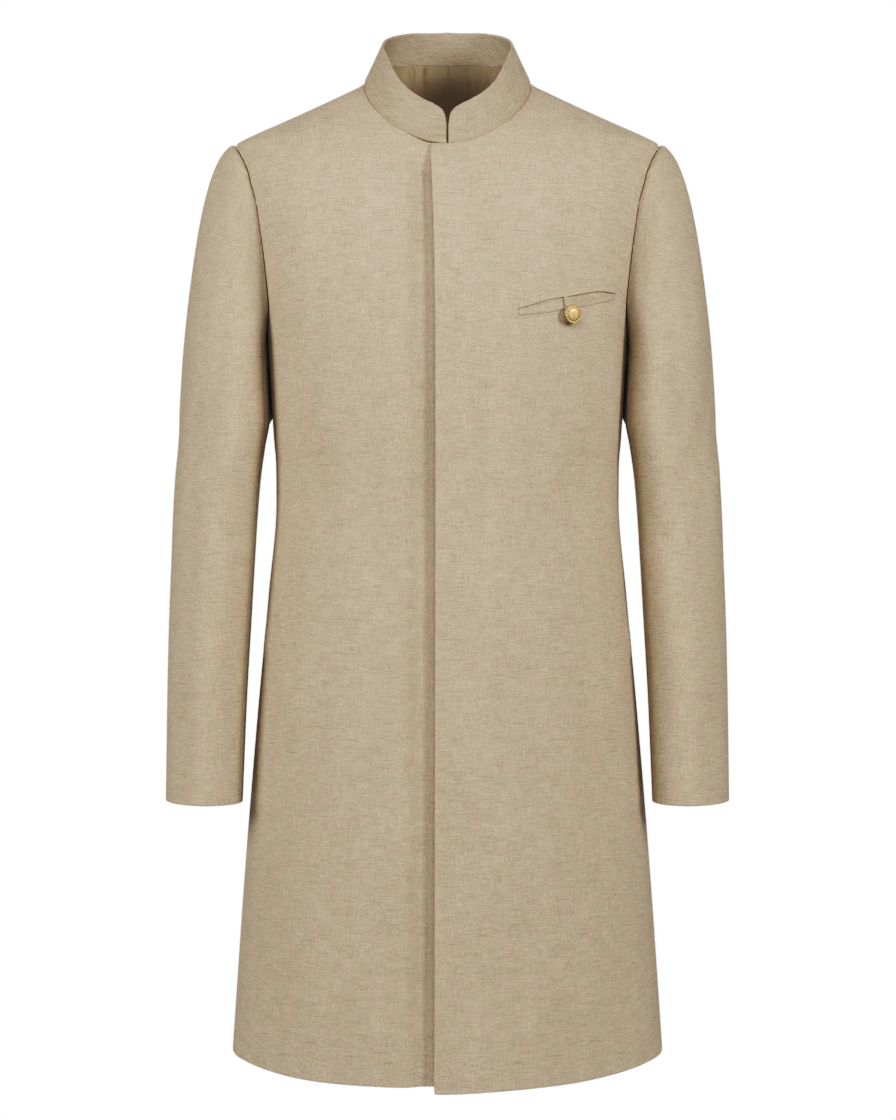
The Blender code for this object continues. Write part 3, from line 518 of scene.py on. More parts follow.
def linen(name, shade=1.0):
    """The coat's suiting: uneven weft and warp yarns in a fine twill, with slubs and dark neps."""
    # the dye's colour times shade; a shade under 1 makes a darker copy that is painted shade
    dye_and_painted_shade = tuple(c * shade for c in LINEN)
    material, nodes, links, shader = new_material(name, dye_and_painted_shade, LINEN_FINISH)
    place = weave_coordinates(nodes)
    tone = None
    for across, up, detail, lean, strength in YARN_NOISES:
        noise = add_yarn_noise(nodes, links, place, across, up, detail, lean)
        change = add_math(nodes, links, "MULTIPLY_ADD", noise, strength, 1 - strength / 2)
        tone = change if tone is None else add_math(nodes, links, "MULTIPLY", tone, change)
    slub = add_yarn_noise(nodes, links, place, *SLUB_GRAIN)
    slub = add_range(nodes, links, slub, SLUB_SPAN, (1, 1 - SLUB_DARK), "SMOOTHSTEP")
    tone = add_math(nodes, links, "MULTIPLY", tone, slub)
    closeness, size, darkness = NEPS
    neps = nodes.new("ShaderNodeTexVoronoi")
    neps.inputs["Scale"].default_value = closeness
    links.new(place, neps.inputs["Vector"])
    speck = add_math(nodes, links, "LESS_THAN", neps.outputs["Distance"], size)
    speck = add_math(nodes, links, "MULTIPLY_ADD", speck, -darkness, 1)
    tone = add_math(nodes, links, "MULTIPLY", tone, speck)
    split = nodes.new("ShaderNodeSeparateXYZ")
    links.new(place, split.inputs[0])
    turns = np.pi / YARN_PITCH
    warp, weft = (
        add_math(nodes, links, "SINE", add_math(nodes, links, "MULTIPLY", split.outputs[i], turns))
        for i in range(2)
    )
    twill = add_math(nodes, links, "MULTIPLY", warp, weft)
    patch = add_yarn_noise(nodes, links, place, *PATTERN_GRAIN)
    patch = add_range(nodes, links, patch, PATTERN_SPAN, (0, PATTERN_CONTRAST))
    dots = add_math(nodes, links, "MULTIPLY", twill, patch)
    dots = add_math(nodes, links, "ADD", dots, 1.0)
    tone = add_math(nodes, links, "MULTIPLY", tone, dots)
    hue = nodes.new("ShaderNodeMix")
    hue.data_type = "RGBA"
    for socket, tint in ((6, LINEN_WARM), (7, LINEN_COOL)):
        hue.inputs[socket].default_value = (*(c * t for c, t in zip(dye_and_painted_shade, tint)), 1)
    links.new(add_yarn_noise(nodes, links, place, *HUE_GRAIN), hue.inputs[0])
    set_shaded_colour(nodes, links, shader, hue.outputs[2], tone)
    height = add_math(nodes, links, "MULTIPLY_ADD", twill, TWILL_RELIEF, tone)
    set_relief(nodes, links, shader, height, YARN_RELIEF)
    return material


linen_body = linen("linen_body")


def back_points():
    """Outer points and normals of the back on the +X side, from the centre to its side."""
    share = np.sin(np.linspace(0, np.pi / 2, BACK_NECK_STEPS + 1))
    armhole = armhole_line(BACK_ARMHOLE, back=True)
    top = neck_back_x(share), neck_back_z(share)
    angles, heights = panel_grid(0.0, *top, armhole, lambda z: 180 - seam_angle(z))
    heights = follow_hem(angles, heights, hem_z)
    angles, heights = with_edge_lines(angles), with_edge_lines(heights)
    points = on_bust(180 - angles, heights)
    normals = bust_normal(points)
    points = draw_in(points, ((1, 0),), by=TIGHT_SEAM)
    return draw_in(points, ((0, -1), (1, -1))), normals


HEM_ROWS = INWARD + len(LEVELS) - 3  # up to the underarm
SEAM_FADE = 14.0


def held_at_seams(lift, points):
    """Folds die out towards the seams, which hold the cloth flat."""
    up, along = run_lengths(points, 0), run_lengths(points, 1)
    return lift * ease(along[:, -1:] - along, 0, SEAM_FADE) * ease(up[-1] - up, 0, SEAM_FADE)


for side, mirrored in SIDES:
    points, normals = back_points()
    lift = held_at_seams(fold_lift(BACK_FOLDS, worn_x(points, mirrored), points[..., 2]), points)
    lift *= ease(run_lengths(points, 1), 0, SEAM_FADE)
    outer, inner = cloth_faces(points, normals, CLOTH, (FOLDED, SEAMED, SEAMED, SEAMED), lift)
    place = upright_weave(points, normals, HEM_ROWS)
    back = add_cloth(f"back_{side}_cloth", outer, inner, place, linen_body, mirrored)
    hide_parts(f"back_{side}")


# ---------------------------------------------------------------- the fronts
# The wearer's left front laps over the right and hides the fastening. Its edge is folded back on a
# facing, so it is thicker there, with no topstitching. The right front sinks to lie under it.

NECK_HALF_WIDTH = 85.4
NECK_FRONT_DROP = 77.0
NECK_FRONT_ROUND = 1.76
FRONT_ARMHOLE = (
    # z, angle
    (-270.0, 90.0),
    (-267.3, 84.5),
    (-262.0, 80.0),
    (-249.0, 74.5),
    (-233.5, 70.8),
    (-203.0, 68.0),
    (-169.0, 65.6),
    (-125.0, 64.4),
    (-102.0, 65.1),
    (-91.0, 67.3),
    (-81.0, 71.3),
    (-72.0, 77.0),
    (-66.5, 83.5),
    (-64.5, 90.0),
)
OVER_EDGE = (
    # z, how far the left front reaches past the centre line
    (-1000.0, 12.6),
    (-300.0, 11.8),
    (-180.0, 13.2),
    (-76.0, 17.2),
)
UNDER_REACH = 24.0
OVER_WALL = 3.8
FACING_FADE = (38.0, 50.0)
NECK_STEP = 2.9  # how deep the right front lies under the left one at the neck
LAP_STEP = 8.6  # and from LAP_STEP_Z down
LAP_STEP_Z = -110.0
TROUGH = (22.0, 44.0)  # distance from the centre over which the right front sinks to that depth
PLACKET_LINES = np.linspace(0, 38, 11)
REACH_SHARES = (0.0, 0.35, 0.7)  # columns between the edge and the centre line
NECK_STEPS = 22
GAPE = (
    # z, how wide the side pocket's mouth stands open
    (-588.0, 0.0),
    (-581.0, 5.0),
    (-567.0, 6.0),
    (-548.0, 3.0),
    (-528.0, 0.0),
)
GAPE_LIFT = 0.25  # share of the gap by which the mouth also stands out
GAPE_REACH = 34.0  # how far from the seam the front gives way round the mouth
CORNER = 3.4  # radius of the left front's lower corner

FRONT_FOLDS = (
    # over both fronts, the wearer's left at x over 0
    (128.0, -432.0, 82.0, 62.0, 24.0, -3.0),
    (-132.0, -416.0, 94.0, 82.0, 25.0, -2.6),
    (-60.0, -350.0, 90.0, 90.0, 32.0, 1.8),
    (62.0, -520.0, 84.0, 120.0, 34.0, 1.2),
    (122.0, -424.0, 70.0, 46.0, 15.0, -0.9),
    (96.0, -410.0, 62.0, 52.0, 13.0, 0.6),
    (5.0, -273.0, 38.0, 24.0, 4.0, 0.35),
    (-128.0, -943.0, 4.0, 70.0, 5.0, 0.5),
    (-128.0, -422.0, 110.0, 40.0, 14.0, -0.7),
    (-150.0, -392.0, 118.0, 36.0, 12.0, 0.5),
    (150.0, -236.0, 122.0, 34.0, 10.0, 0.6),
    (-150.0, -230.0, 60.0, 36.0, 11.0, 0.6),
    (-132.0, -205.0, 66.0, 50.0, 12.0, -0.5),
    (150.0, -640.0, 88.0, 90.0, 18.0, 0.7),
    (-152.0, -655.0, 93.0, 90.0, 18.0, 0.6),
)

over_edge = curve_through(OVER_EDGE, 1)
gape = curve_through(GAPE, 1)


def neck_front_z(x):
    share = np.clip(np.abs(x) / NECK_HALF_WIDTH, 0, 1)
    return -NECK_FRONT_DROP * (1 - share**NECK_FRONT_ROUND) ** (1 / NECK_FRONT_ROUND)


def neckline_front(steps):
    """(x, z) of the front neckline from the last placket line to the shoulder seam."""
    start = np.arcsin((PLACKET_LINES[-1] / NECK_HALF_WIDTH) ** (NECK_FRONT_ROUND / 2))
    turn = np.linspace(start, np.pi / 2, steps + 1)
    x = NECK_HALF_WIDTH * np.sin(turn) ** (2 / NECK_FRONT_ROUND)
    return x, neck_front_z(x)


def front_point(x, z):
    return on_bust(angle_of(x, z), np.asarray(z, float))


def front_grid(over):
    """Angles and heights of a front's grid, row by row from the hem, columns from its edge."""
    armhole = armhole_line(FRONT_ARMHOLE, back=False)
    angles, heights = panel_grid(PLACKET_LINES[-1], *neckline_front(NECK_STEPS), armhole, seam_angle)
    placket_angles, placket_heights = [], []
    columns = [(1 - share, 0.0) for share in REACH_SHARES] + [(0.0, x) for x in PLACKET_LINES[:-1]]
    for reach, line in columns:
        up = np.linspace(0, 1, ARM_ROWS + 1)
        z = np.concatenate([LEVELS[:-1], UNDERARM_Z + (neck_front_z(line) - UNDERARM_Z) * up])
        x = line - reach * (over_edge(z) if over else UNDER_REACH)
        placket_angles.append(angle_of(x + 0 * z, z))
        placket_heights.append(z)
    angles = np.hstack([np.array(placket_angles).T, angles])
    heights = np.hstack([np.array(placket_heights).T, heights])
    return angles, follow_hem(angles, heights, over_hem_z if over else hem_z)


def lap_depth(x, z):
    """How deep the right front lies under the bust's surface, x counted towards its side."""
    depth = NECK_STEP + (LAP_STEP - NECK_STEP) * ease(-z, NECK_FRONT_DROP, -LAP_STEP_Z)
    return depth * (1 - ease(x, *TROUGH))


def over_wall(x, z):
    extra = (OVER_WALL - CLOTH) * ease(-z, NECK_FRONT_DROP, -LAP_STEP_Z)
    return CLOTH + extra * (1 - ease(x, *FACING_FADE))


def front_points(over):
    """Outer points, normals and wall of a front on the +X side, from its edge to its side."""
    angles, heights = front_grid(over)
    angles, heights = with_edge_lines(angles), with_edge_lines(heights)
    points = on_bust(angles, heights)
    normals = bust_normal(points)
    x, z = points[..., 0], points[..., 2]
    if over:
        wall = over_wall(x, z)
    else:
        wall = CLOTH + 0 * x
        points = points - lap_depth(x, z)[..., None] * normals
    along = run_lengths(points, 1)
    near = 1 - ease(along[:, -1:] - along, 0, GAPE_REACH)
    gap = (gape(z[:, -1:]) * near)[..., None]
    way = unit(points[:, -1 - INWARD : -INWARD] - points[:, -1:])
    points = points + gap * way + GAPE_LIFT * gap * normals
    return draw_in(points, ((0, -1), (1, -1))), normals, wall


def round_corner(points, radius):
    """Rounds the corner where the first row and the first column meet."""
    up, along = run_lengths(points, 0), run_lengths(points, 1)
    a = np.clip(1 - up / radius, 0, 1)
    b = np.clip(1 - along / radius, 0, 1)
    rise = points[INWARD + 2, 0] - points[0, 0]
    run = points[0, INWARD] - points[0, 0]
    rise, run = rise / np.linalg.norm(rise), run / np.linalg.norm(run)
    move_up = radius * a * (1 - np.sqrt(1 - b**2 / 2))
    move_along = radius * b * (1 - np.sqrt(1 - a**2 / 2))
    return points + move_up[..., None] * rise + move_along[..., None] * run


for side, mirrored in SIDES:
    over = side == "left"
    points, normals, wall = front_points(over)
    lift = held_at_seams(fold_lift(FRONT_FOLDS, worn_x(points, mirrored), points[..., 2]), points)
    outer, inner = cloth_faces(points, normals, wall, (FOLDED, SEAMED, FOLDED, SEAMED), lift)
    if over:
        outer, inner = round_corner(outer, CORNER), round_corner(inner, CORNER)
    place = upright_weave(points, normals, HEM_ROWS)
    front = add_cloth(f"front_{side}_cloth", outer, inner, place, linen_body, mirrored)
    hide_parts(f"front_{side}")
    area = 0.242 if over else 0.252


# ---------------------------------------------------------------- the sleeves
# Two-piece sleeves of the same suiting, eased into the armhole with a low, soft head. They hang
# with a slight bend at the elbow and end in a plain turned-up cuff.

SLEEVE = (
    # z, centre_x, half_x, centre_y, half_y, swing: how far the outer side lies back
    (-300.0, 227.8, 45.9, 5.0, 62.0, 26.0),
    (-348.0, 228.2, 48.2, 5.5, 61.0, 26.0),
    (-372.0, 231.0, 46.8, 6.0, 60.5, 25.0),
    (-406.0, 235.0, 46.0, 5.5, 59.5, 23.0),
    (-447.0, 237.7, 45.3, 3.0, 58.0, 20.0),
    (-529.0, 240.5, 43.7, -6.0, 54.5, 16.0),
    (-631.0, 243.3, 41.4, -17.0, 51.0, 13.0),
    (-730.0, 244.8, 39.6, -28.0, 47.5, 11.0),
)
SLEEVE_HEAD = (
    # turn, then how its line leaves the armhole (out, fore, drop) and comes down (lean, rise)
    (0.0, 31.0, 0.0, 0.5, -7.0, 114.0),
    (45.0, 27.0, -7.0, -3.0, -4.0, 96.0),
    (90.0, 21.0, -9.0, -10.0, 0.0, 62.0),
    (135.0, 9.0, -6.0, -14.0, 0.0, 26.0),
    (180.0, 0.6, 0.0, -10.0, 0.0, 10.0),
    (225.0, 9.0, 6.0, -14.0, 0.0, 24.0),
    (270.0, 21.0, 8.0, -10.0, 0.0, 58.0),
    (315.0, 27.0, 6.0, -3.0, -4.0, 92.0),
    (360.0, 31.0, 0.0, 0.5, -7.0, 114.0),
)
HEAD_ROWS = np.linspace(0, 1, 33)
HEAD_DRAWN = (0.1, 0.25)  # the head is drawn clear of the armhole's seam up to here, then less to here
SLEEVE_LEVELS = np.linspace(-306.0, -730.0, 72)
FOREARM_SEAM = 55  # which line round the sleeve, of 2 * ARM_ROWS, each seam follows
HINDARM_SEAM = 80
HEAD_ROLL = (0.9, 5.0, 3.5)  # the seam allowance under the sleeve head: lift, place, half width
MM_PER_DEGREE = 0.87  # round the sleeve
SLEEVE_FOLDS = {
    # mm round from the outer line, towards the front, then z
    "left": (
        (80.0, -235.0, 92.0, 92.0, 14.0, -2.3),
        (108.0, -250.0, 88.0, 170.0, 12.0, 1.5),
        (82.0, -600.0, 90.0, 170.0, 20.0, 1.6),
        (62.0, -190.0, 118.0, 46.0, 12.0, 2.1),
        (84.0, -232.0, 122.0, 40.0, 9.0, -1.8),
        (52.0, -262.0, 112.0, 44.0, 11.0, 1.6),
        (96.0, -300.0, 128.0, 40.0, 10.0, 1.8),
        (38.0, -330.0, 108.0, 38.0, 10.0, -1.6),
        (74.0, -372.0, 122.0, 42.0, 11.0, 1.6),
        (34.0, -418.0, 118.0, 44.0, 10.0, 1.9),
        (56.0, -452.0, 124.0, 40.0, 9.0, -1.4),
        (104.0, -466.0, 58.0, 34.0, 9.0, -1.3),
        (120.0, -490.0, 20.0, 26.0, 8.0, 1.6),
        (66.0, -560.0, 96.0, 90.0, 14.0, 1.3),
        (112.0, -640.0, 84.0, 90.0, 12.0, -1.1),
    ),
    "right": (
        (78.0, -232.0, 92.0, 98.0, 16.0, -2.6),
        (112.0, -240.0, 88.0, 110.0, 13.0, 1.3),
        (80.0, -570.0, 90.0, 200.0, 20.0, 1.8),
        (70.0, -210.0, 66.0, 48.0, 12.0, 1.6),
        (92.0, -262.0, 60.0, 44.0, 10.0, -1.4),
        (46.0, -318.0, 74.0, 46.0, 11.0, 1.4),
        (88.0, -404.0, 62.0, 40.0, 10.0, 1.4),
        (58.0, -448.0, 56.0, 40.0, 10.0, -1.4),
        (112.0, -484.0, 18.0, 28.0, 8.0, 1.4),
        (74.0, -590.0, 88.0, 90.0, 14.0, 1.3),
        (116.0, -650.0, 96.0, 80.0, 12.0, -1.0),
    ),
}
HIDDEN_SLEEVE_FOLDS = (
    # behind, at both elbows and backs of the arm
    (-63.0, -232.0, 108.0, 46.0, 12.0, 1.2),
    (-91.0, -286.0, 118.0, 42.0, 11.0, -1.0),
    (-51.0, -356.0, 68.0, 44.0, 12.0, 1.0),
    (-77.0, -430.0, 12.0, 40.0, 8.0, -1.2),
    (-67.0, -452.0, -8.0, 44.0, 9.0, 1.3),
    (-83.0, -486.0, 14.0, 38.0, 9.0, -0.9),
    (-59.0, -590.0, 92.0, 100.0, 15.0, 1.0),
    (10.0, -300.0, 88.0, 70.0, 14.0, 0.9),
    (6.0, -470.0, 96.0, 60.0, 12.0, -0.7),
)
SIDE_REST = (
    # z, how far the fullness inside the sleeve falls against the coat's side, under the arm
    (-354.0, 0.0),
    (-338.0, 1.0),
    (-288.0, 1.0),
    (-272.0, 0.0),
)
REST_TURN = (208.0, 13.0)  # where round the sleeve it falls, and how wide
REST_GAP = 0.35  # kept between it and the side
sleeve_x, sleeve_half_x, sleeve_y, sleeve_half_y = (curve_through(SLEEVE, i) for i in range(1, 5))
sleeve_swing = curve_through(SLEEVE, 5)
side_rest = curve_through(SIDE_REST, 1)


def sleeve_ring(z, turn):
    """The sleeve's level section. turn is 0 outside, 90 in front, 180 inside, 270 behind."""
    x = sleeve_x(z) + sleeve_half_x(z) * np.cos(turn)
    y = sleeve_y(z) - sleeve_half_y(z) * np.sin(turn) + sleeve_swing(z) * np.cos(turn)
    return np.stack([x, y, z + 0 * x], axis=-1)


def side_x_at(y, z):
    """How far out the bust reaches at this depth and height."""
    away, depth = depth_at(y, z)
    share = np.clip(np.abs(away / depth), 0, 1)
    return half_width(z) * (1 - share ** square(z)) ** (1 / square(z))


def sleeve_surface():
    """Outer points and normals all round the sleeve, rows from the armhole to the cuff."""
    front_angle, front_z = armhole_line(FRONT_ARMHOLE, back=False)
    back_angle, back_z = armhole_line(BACK_ARMHOLE, back=True)
    loop = np.vstack([on_bust(front_angle, front_z)[::-1], on_bust(180 - back_angle, back_z)[1:]])
    degrees = np.linspace(0, 360, 2 * ARM_ROWS + 1)
    turn = np.radians(degrees)
    out, fore, drop, lean, rise = (curve_through(SLEEVE_HEAD, i)(degrees) for i in range(1, 6))
    leave = loop + np.stack([out, fore, drop], axis=-1)
    ring = sleeve_ring(SLEEVE[0][0], turn)
    arrive = ring + np.stack([lean, 0 * lean, rise], axis=-1)
    head = [
        (1 - t) ** 3 * loop + 3 * t * (1 - t) ** 2 * leave + 3 * t**2 * (1 - t) * arrive + t**3 * ring
        for t in HEAD_ROWS
    ]
    points = np.array(head + [sleeve_ring(z, turn) for z in SLEEVE_LEVELS])
    y, z = points[..., 1], points[..., 2]
    over = np.maximum(points[..., 0] - side_x_at(y, z) - REST_GAP, 0)
    rest_at, rest_width = REST_TURN
    points[..., 0] -= over * side_rest(z) * np.exp(-(((degrees - rest_at) / rest_width) ** 2))
    along = np.gradient(points, axis=0)
    wrapped = np.concatenate([points[:, -2:-1], points, points[:, 1:2]], axis=1)
    normals = unit(np.cross(wrapped[:, 2:] - wrapped[:, :-2], along))
    bust = bust_normal(points[0])
    folded_back = 1 - (bust * normals[0]).sum(axis=-1, keepdims=True)
    drawn = 1 - ease(HEAD_ROWS, *HEAD_DRAWN)
    points[: len(drawn)] += SEAM * drawn[:, None, None] * (folded_back * bust)
    return points, normals


def armhole_normals(points, normals):
    """Directions halfway between the bust's normals and the sleeve's, where their walls meet."""
    along = np.gradient(points[0], axis=0)
    along[0] = along[-1] = points[0, 1] - points[0, -2]
    along = unit(along)
    between = bust_normal(points[0]) + normals[0]
    between -= (between * along).sum(axis=-1, keepdims=True) * along
    return unit(between)


def sleeve_part(lines, side):
    """Outer and inner face of the part of a sleeve along these lines, and its place on the weave."""
    points, normals = sleeve_surface()
    degrees = np.linspace(0, 360, 2 * ARM_ROWS + 1) + 0 * points[..., 0]
    normals[0] = armhole_normals(points, normals)
    both = np.concatenate([points, normals, degrees[..., None]], axis=-1)[:, lines]
    both = with_edge_lines(both)
    points, normals, degrees = both[..., :3], both[..., 3:6], both[..., 6]
    normals = unit(normals)
    down = run_lengths(points, 0)
    round_it = MM_PER_DEGREE * degrees
    folds = SLEEVE_FOLDS[side] + HIDDEN_SLEEVE_FOLDS
    lift = fold_lift(folds, round_it, points[..., 2])
    lift += fold_lift(folds, round_it - 360 * MM_PER_DEGREE, points[..., 2])
    lift = lift * ease(down, 0, SEAM_FADE)
    roll, roll_at, roll_width = HEAD_ROLL
    cap = 0.5 + 0.5 * np.cos(np.radians(np.clip(np.minimum(degrees, 360 - degrees) * 2, 0, 180)))
    lift = lift + roll * cap * np.exp(-(((down - roll_at) / roll_width) ** 2))
    points = draw_in(points, ((0, 0), (1, 0), (1, -1)))
    outer, inner = cloth_faces(points, normals, CLOTH, (SEAMED, FOLDED, SEAMED, SEAMED), lift)
    return outer, inner, weave_place(points, -1)


lines = np.arange(2 * ARM_ROWS + 1)
sleeve_lines = {
    "under": lines[FOREARM_SEAM : HINDARM_SEAM + 1],
    "upper": np.concatenate([lines[HINDARM_SEAM:-1], lines[: FOREARM_SEAM + 1]]),
}
for side, mirrored in SIDES:
    for part, part_lines in sleeve_lines.items():
        outer, inner, place = sleeve_part(part_lines, side)
        name = f"sleeve_{part}_{side}"
        sleeve = add_cloth(f"{name}_cloth", outer, inner, place, linen_body, mirrored)
        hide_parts(name)
        holder = [f"front_{side}_cloth", f"back_{side}_cloth"]


# ---------------------------------------------------------------- the collar
# A stiff, interlined band of the suiting, 35 to 45 mm high. Its two ends are rounded and meet at
# the centre front. It is sewn in one seam round the neckline and has no topstitching.

COLLAR_WALL = 3.0
COLLAR_FRONT = 67.0
COLLAR_BACK = 61.0
COLLAR_CENTRE_Y = 5.0
COLLAR_LIFT = 0.02
COLLAR_SHADE = 0.88  # painted shade: the collar's colour over the body's, made darker to sit level with it under these lamps
COLLAR_TOP = (
    # turn from the front to the back, x, z
    (0.0, 0.0, -40.0),
    (8.0, 9.0, -37.8),
    (13.5, 15.0, -34.3),
    (19.0, 21.0, -31.2),
    (26.4, 28.5, -26.5),
    (32.0, 34.0, -22.5),
    (48.0, 47.6, -7.5),
    (64.4, 57.8, 12.5),
    (80.0, 64.2, 29.5),
    (90.0, 67.0, 38.0),
    (102.0, 64.5, 47.2),
    (112.0, 60.3, 52.2),
    (122.0, 54.5, 56.5),
    (150.0, 32.5, 64.2),
    (180.0, 0.0, 66.8),
)
COLLAR_END = (
    # base_x, top_x, top_z: the rounded corner at each end
    (0.85, 0.95, -58.0),
    (2.6, 2.2, -48.0),
    (6.5, 5.2, -41.3),
)
COLLAR_END_X = 12.0  # where the rounded corner ends, and a point on the band after it
COLLAR_BAND_X = 20.0
CORNER_COLUMNS = 14  # along the rounded corner, and from there to the last placket line
PLACKET_COLUMNS = 10
COLLAR_ROWS = 25
COLLAR_FOLDED = (1.4, 1.4, 0.0, 1.0)
collar_top_x, collar_top_z = curve_through(COLLAR_TOP, 1), curve_through(COLLAR_TOP, 2)


def turn_of(x):
    return np.degrees(np.arcsin(np.clip(x / NECK_HALF_WIDTH, -1, 1)))


def collar_points():
    """Outer points and normals of the collar, rows from its seam up, end to end."""
    neck_x, neck_z = neckline_front(NECK_STEPS)
    corner_x = np.linspace(COLLAR_END[0][0], COLLAR_END_X, CORNER_COLUMNS)
    placket_x = np.linspace(COLLAR_END_X, PLACKET_LINES[-1], PLACKET_COLUMNS)[1:-1]
    base_x = np.concatenate([corner_x, placket_x, neck_x])
    base_z = np.concatenate([neck_front_z(base_x[: -len(neck_x)]), neck_z])
    front = front_point(base_x, base_z)
    share = np.sin(np.linspace(0, np.pi / 2, BACK_NECK_STEPS + 1))
    back_x, back_z = neck_back_x(share), neck_back_z(share)
    back = on_bust(180 - angle_of(back_x, back_z), back_z)[::-1]
    base = np.vstack([front, back[1:]])
    turn = turn_of(base[:, 0])
    turn[len(front) :] = 180 - turn[len(front) :]
    depth = np.where(turn <= 90, COLLAR_FRONT, COLLAR_BACK)
    top_y = COLLAR_CENTRE_Y - depth * np.cos(np.radians(turn))
    top = np.stack([collar_top_x(turn), top_y, collar_top_z(turn)], axis=-1)
    band_x = (COLLAR_END_X, COLLAR_BAND_X)
    end = (*COLLAR_END, *((x, collar_top_x(turn_of(x)), collar_top_z(turn_of(x))) for x in band_x))
    corner = base_x < COLLAR_END_X
    near = base_x[corner]
    at_corner = np.nonzero(corner)[0]
    top[at_corner, 0] = curve_through(end, 1)(near)
    top[at_corner, 2] = curve_through(end, 2)(near)
    share = (top[at_corner, 2] - base[at_corner, 2]) / (COLLAR_TOP[0][2] + NECK_FRONT_DROP)
    middle_y = top_y[len(at_corner)]
    top[at_corner, 1] = base[at_corner, 1] + np.minimum(share, 1) * (middle_y - base[at_corner, 1])
    base = np.vstack([base, base[-2::-1] * MIRROR_X])
    top = np.vstack([top, top[-2::-1] * MIRROR_X])
    up = top - base
    base = base + COLLAR_LIFT * up / np.linalg.norm(up, axis=-1, keepdims=True)
    shares = np.linspace(0, 1, COLLAR_ROWS)
    points = np.array([base + (top - base) * s for s in shares])
    normals = np.cross(np.gradient(points, axis=1), np.gradient(points, axis=0))
    normals = unit(normals)
    normals[0] = bust_normal(base)
    both = with_edge_lines(np.concatenate([points, normals], axis=-1))
    normals = unit(both[..., 3:])
    return both[..., :3], normals


# painted shade: the collar's linen is a darker copy of the body's
linen_collar_painted_shade = linen("linen_collar_painted_shade", COLLAR_SHADE)
points, normals = collar_points()
edges = (SEAMED, COLLAR_FOLDED, COLLAR_FOLDED, COLLAR_FOLDED)
outer, inner = cloth_faces(points, normals, COLLAR_WALL, edges, 0 * points[..., 0])
collar = add_cloth("collar_band", outer, inner, weave_place(points, 0), linen_collar_painted_shade)
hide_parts("collar")


# ---------------------------------------------------------------- the back neck lining
# Smooth brown lining in two halves, felled to the collar seam inside the back. It is cut a little
# loose, so it puckers softly under the seam. No more of the inside is ever seen.

LINING_WALL = 1.0
LINING_CLEARANCE = 0.55  # behind the cloth, for the lining and the pocket bags
LINING_ROWS = 20
LINING_COLUMNS = 28
LINING_SEAM = 0.02  # half the gap at the centre back, narrow so that no light comes through
LINING_FINENESS = 4  # lines for each of the back's, so that a pucker stays smooth
LINING_EDGE = (0.3, 0.3, 0.0, 1.0)
LINING_CENTRE = (0.3, 0.8, 0.0, 1.0)  # rounder inside, so that the centre back seam is a groove
LINING_HELD = 5.0  # how far under the collar seam the puckers reach their full depth
LINING = (0.285, 0.21, 0.126)
LINING_FINISH = {"Roughness": 0.5, "Specular IOR Level": 0.35}
LINING_GRAIN = (0.0007, 0.012, 2.0)
LINING_TONE = (0.24, 0.88)  # how strongly the grain shows, and its darkest tone
LINING_RELIEF = 0.00005
LINING_FOLDS = (
    # under 0 stands out towards the neck
    (-38.5, 24.0, 88.0, 15.0, 2.2, -2.9),
    (-22.7, 24.0, 91.0, 17.0, 1.5, -3.6),
    (23.8, 22.0, 94.0, 15.0, 2.0, -2.9),
    (34.3, 24.0, 90.0, 14.0, 1.9, -2.8),
    (43.8, 23.0, 86.0, 14.0, 2.2, -2.6),
    (-2.5, 21.0, 2.0, 13.0, 2.6, -1.0),
    (54.0, 8.0, 74.0, 20.0, 4.0, -1.2),
    (-53.0, 6.0, 104.0, 20.0, 4.0, -1.2),
)


def finer(grid, times):
    """The grid with each step along its rows cut into some, on a smooth curve through its points."""
    last = grid.shape[1] - 1
    at = np.linspace(0, last, last * times + 1)
    i = np.minimum(at.astype(int), last - 1)
    t = (at - i)[:, None]
    before, start, end = grid[:, np.maximum(i - 1, 0)], grid[:, i], grid[:, i + 1]
    after = grid[:, np.minimum(i + 2, last)]
    bend = 2 * before - 5 * start + 4 * end - after
    return start + 0.5 * t * ((end - before) + t * (bend + t * (3 * (start - end) + after - before)))


def lining_cloth(name):
    """A closely woven lining: a faint lengthwise grain and a soft shine."""
    material, nodes, links, shader = new_material(name, LINING, LINING_FINISH)
    grain = add_yarn_noise(nodes, links, weave_coordinates(nodes), *LINING_GRAIN)
    tone = add_math(nodes, links, "MULTIPLY_ADD", grain, *LINING_TONE)
    set_shaded_colour(nodes, links, shader, LINING, tone)
    set_relief(nodes, links, shader, grain, LINING_RELIEF)
    return material


lining = lining_cloth("lining")
for side, mirrored in SIDES:
    points, normals = back_points()
    rows = slice(-INWARD - LINING_ROWS, None)
    columns = [0, *range(INWARD, INWARD + LINING_COLUMNS)]
    points, normals = (finer(grid[rows, columns], LINING_FINENESS) for grid in (points, normals))
    points = points - (CLOTH + LINING_CLEARANCE) * normals
    points = draw_in(points, ((0, -1),), by=LINING_SEAM)
    from_top = run_lengths(points[::-1], 0)[::-1]
    lift = fold_lift(LINING_FOLDS, worn_x(points, mirrored), points[..., 2])
    lift = lift * ease(from_top, 0, LINING_HELD)
    edges = (LINING_EDGE, LINING_EDGE, LINING_CENTRE, LINING_EDGE)
    outer, inner = cloth_faces(points, normals, LINING_WALL, edges, lift)
    place = weave_place(points, 0)
    piece = add_cloth(f"neck_lining_{side}_cloth", outer, inner, place, lining, mirrored)
    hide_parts(f"neck_lining_{side}")


# ---------------------------------------------------------------- the side pockets
# A pocket stands in each side seam below the waist. Its bag hangs inside, tacked to the back's
# seam allowance. Where the mouth gapes a little, the dark of the bag shows.

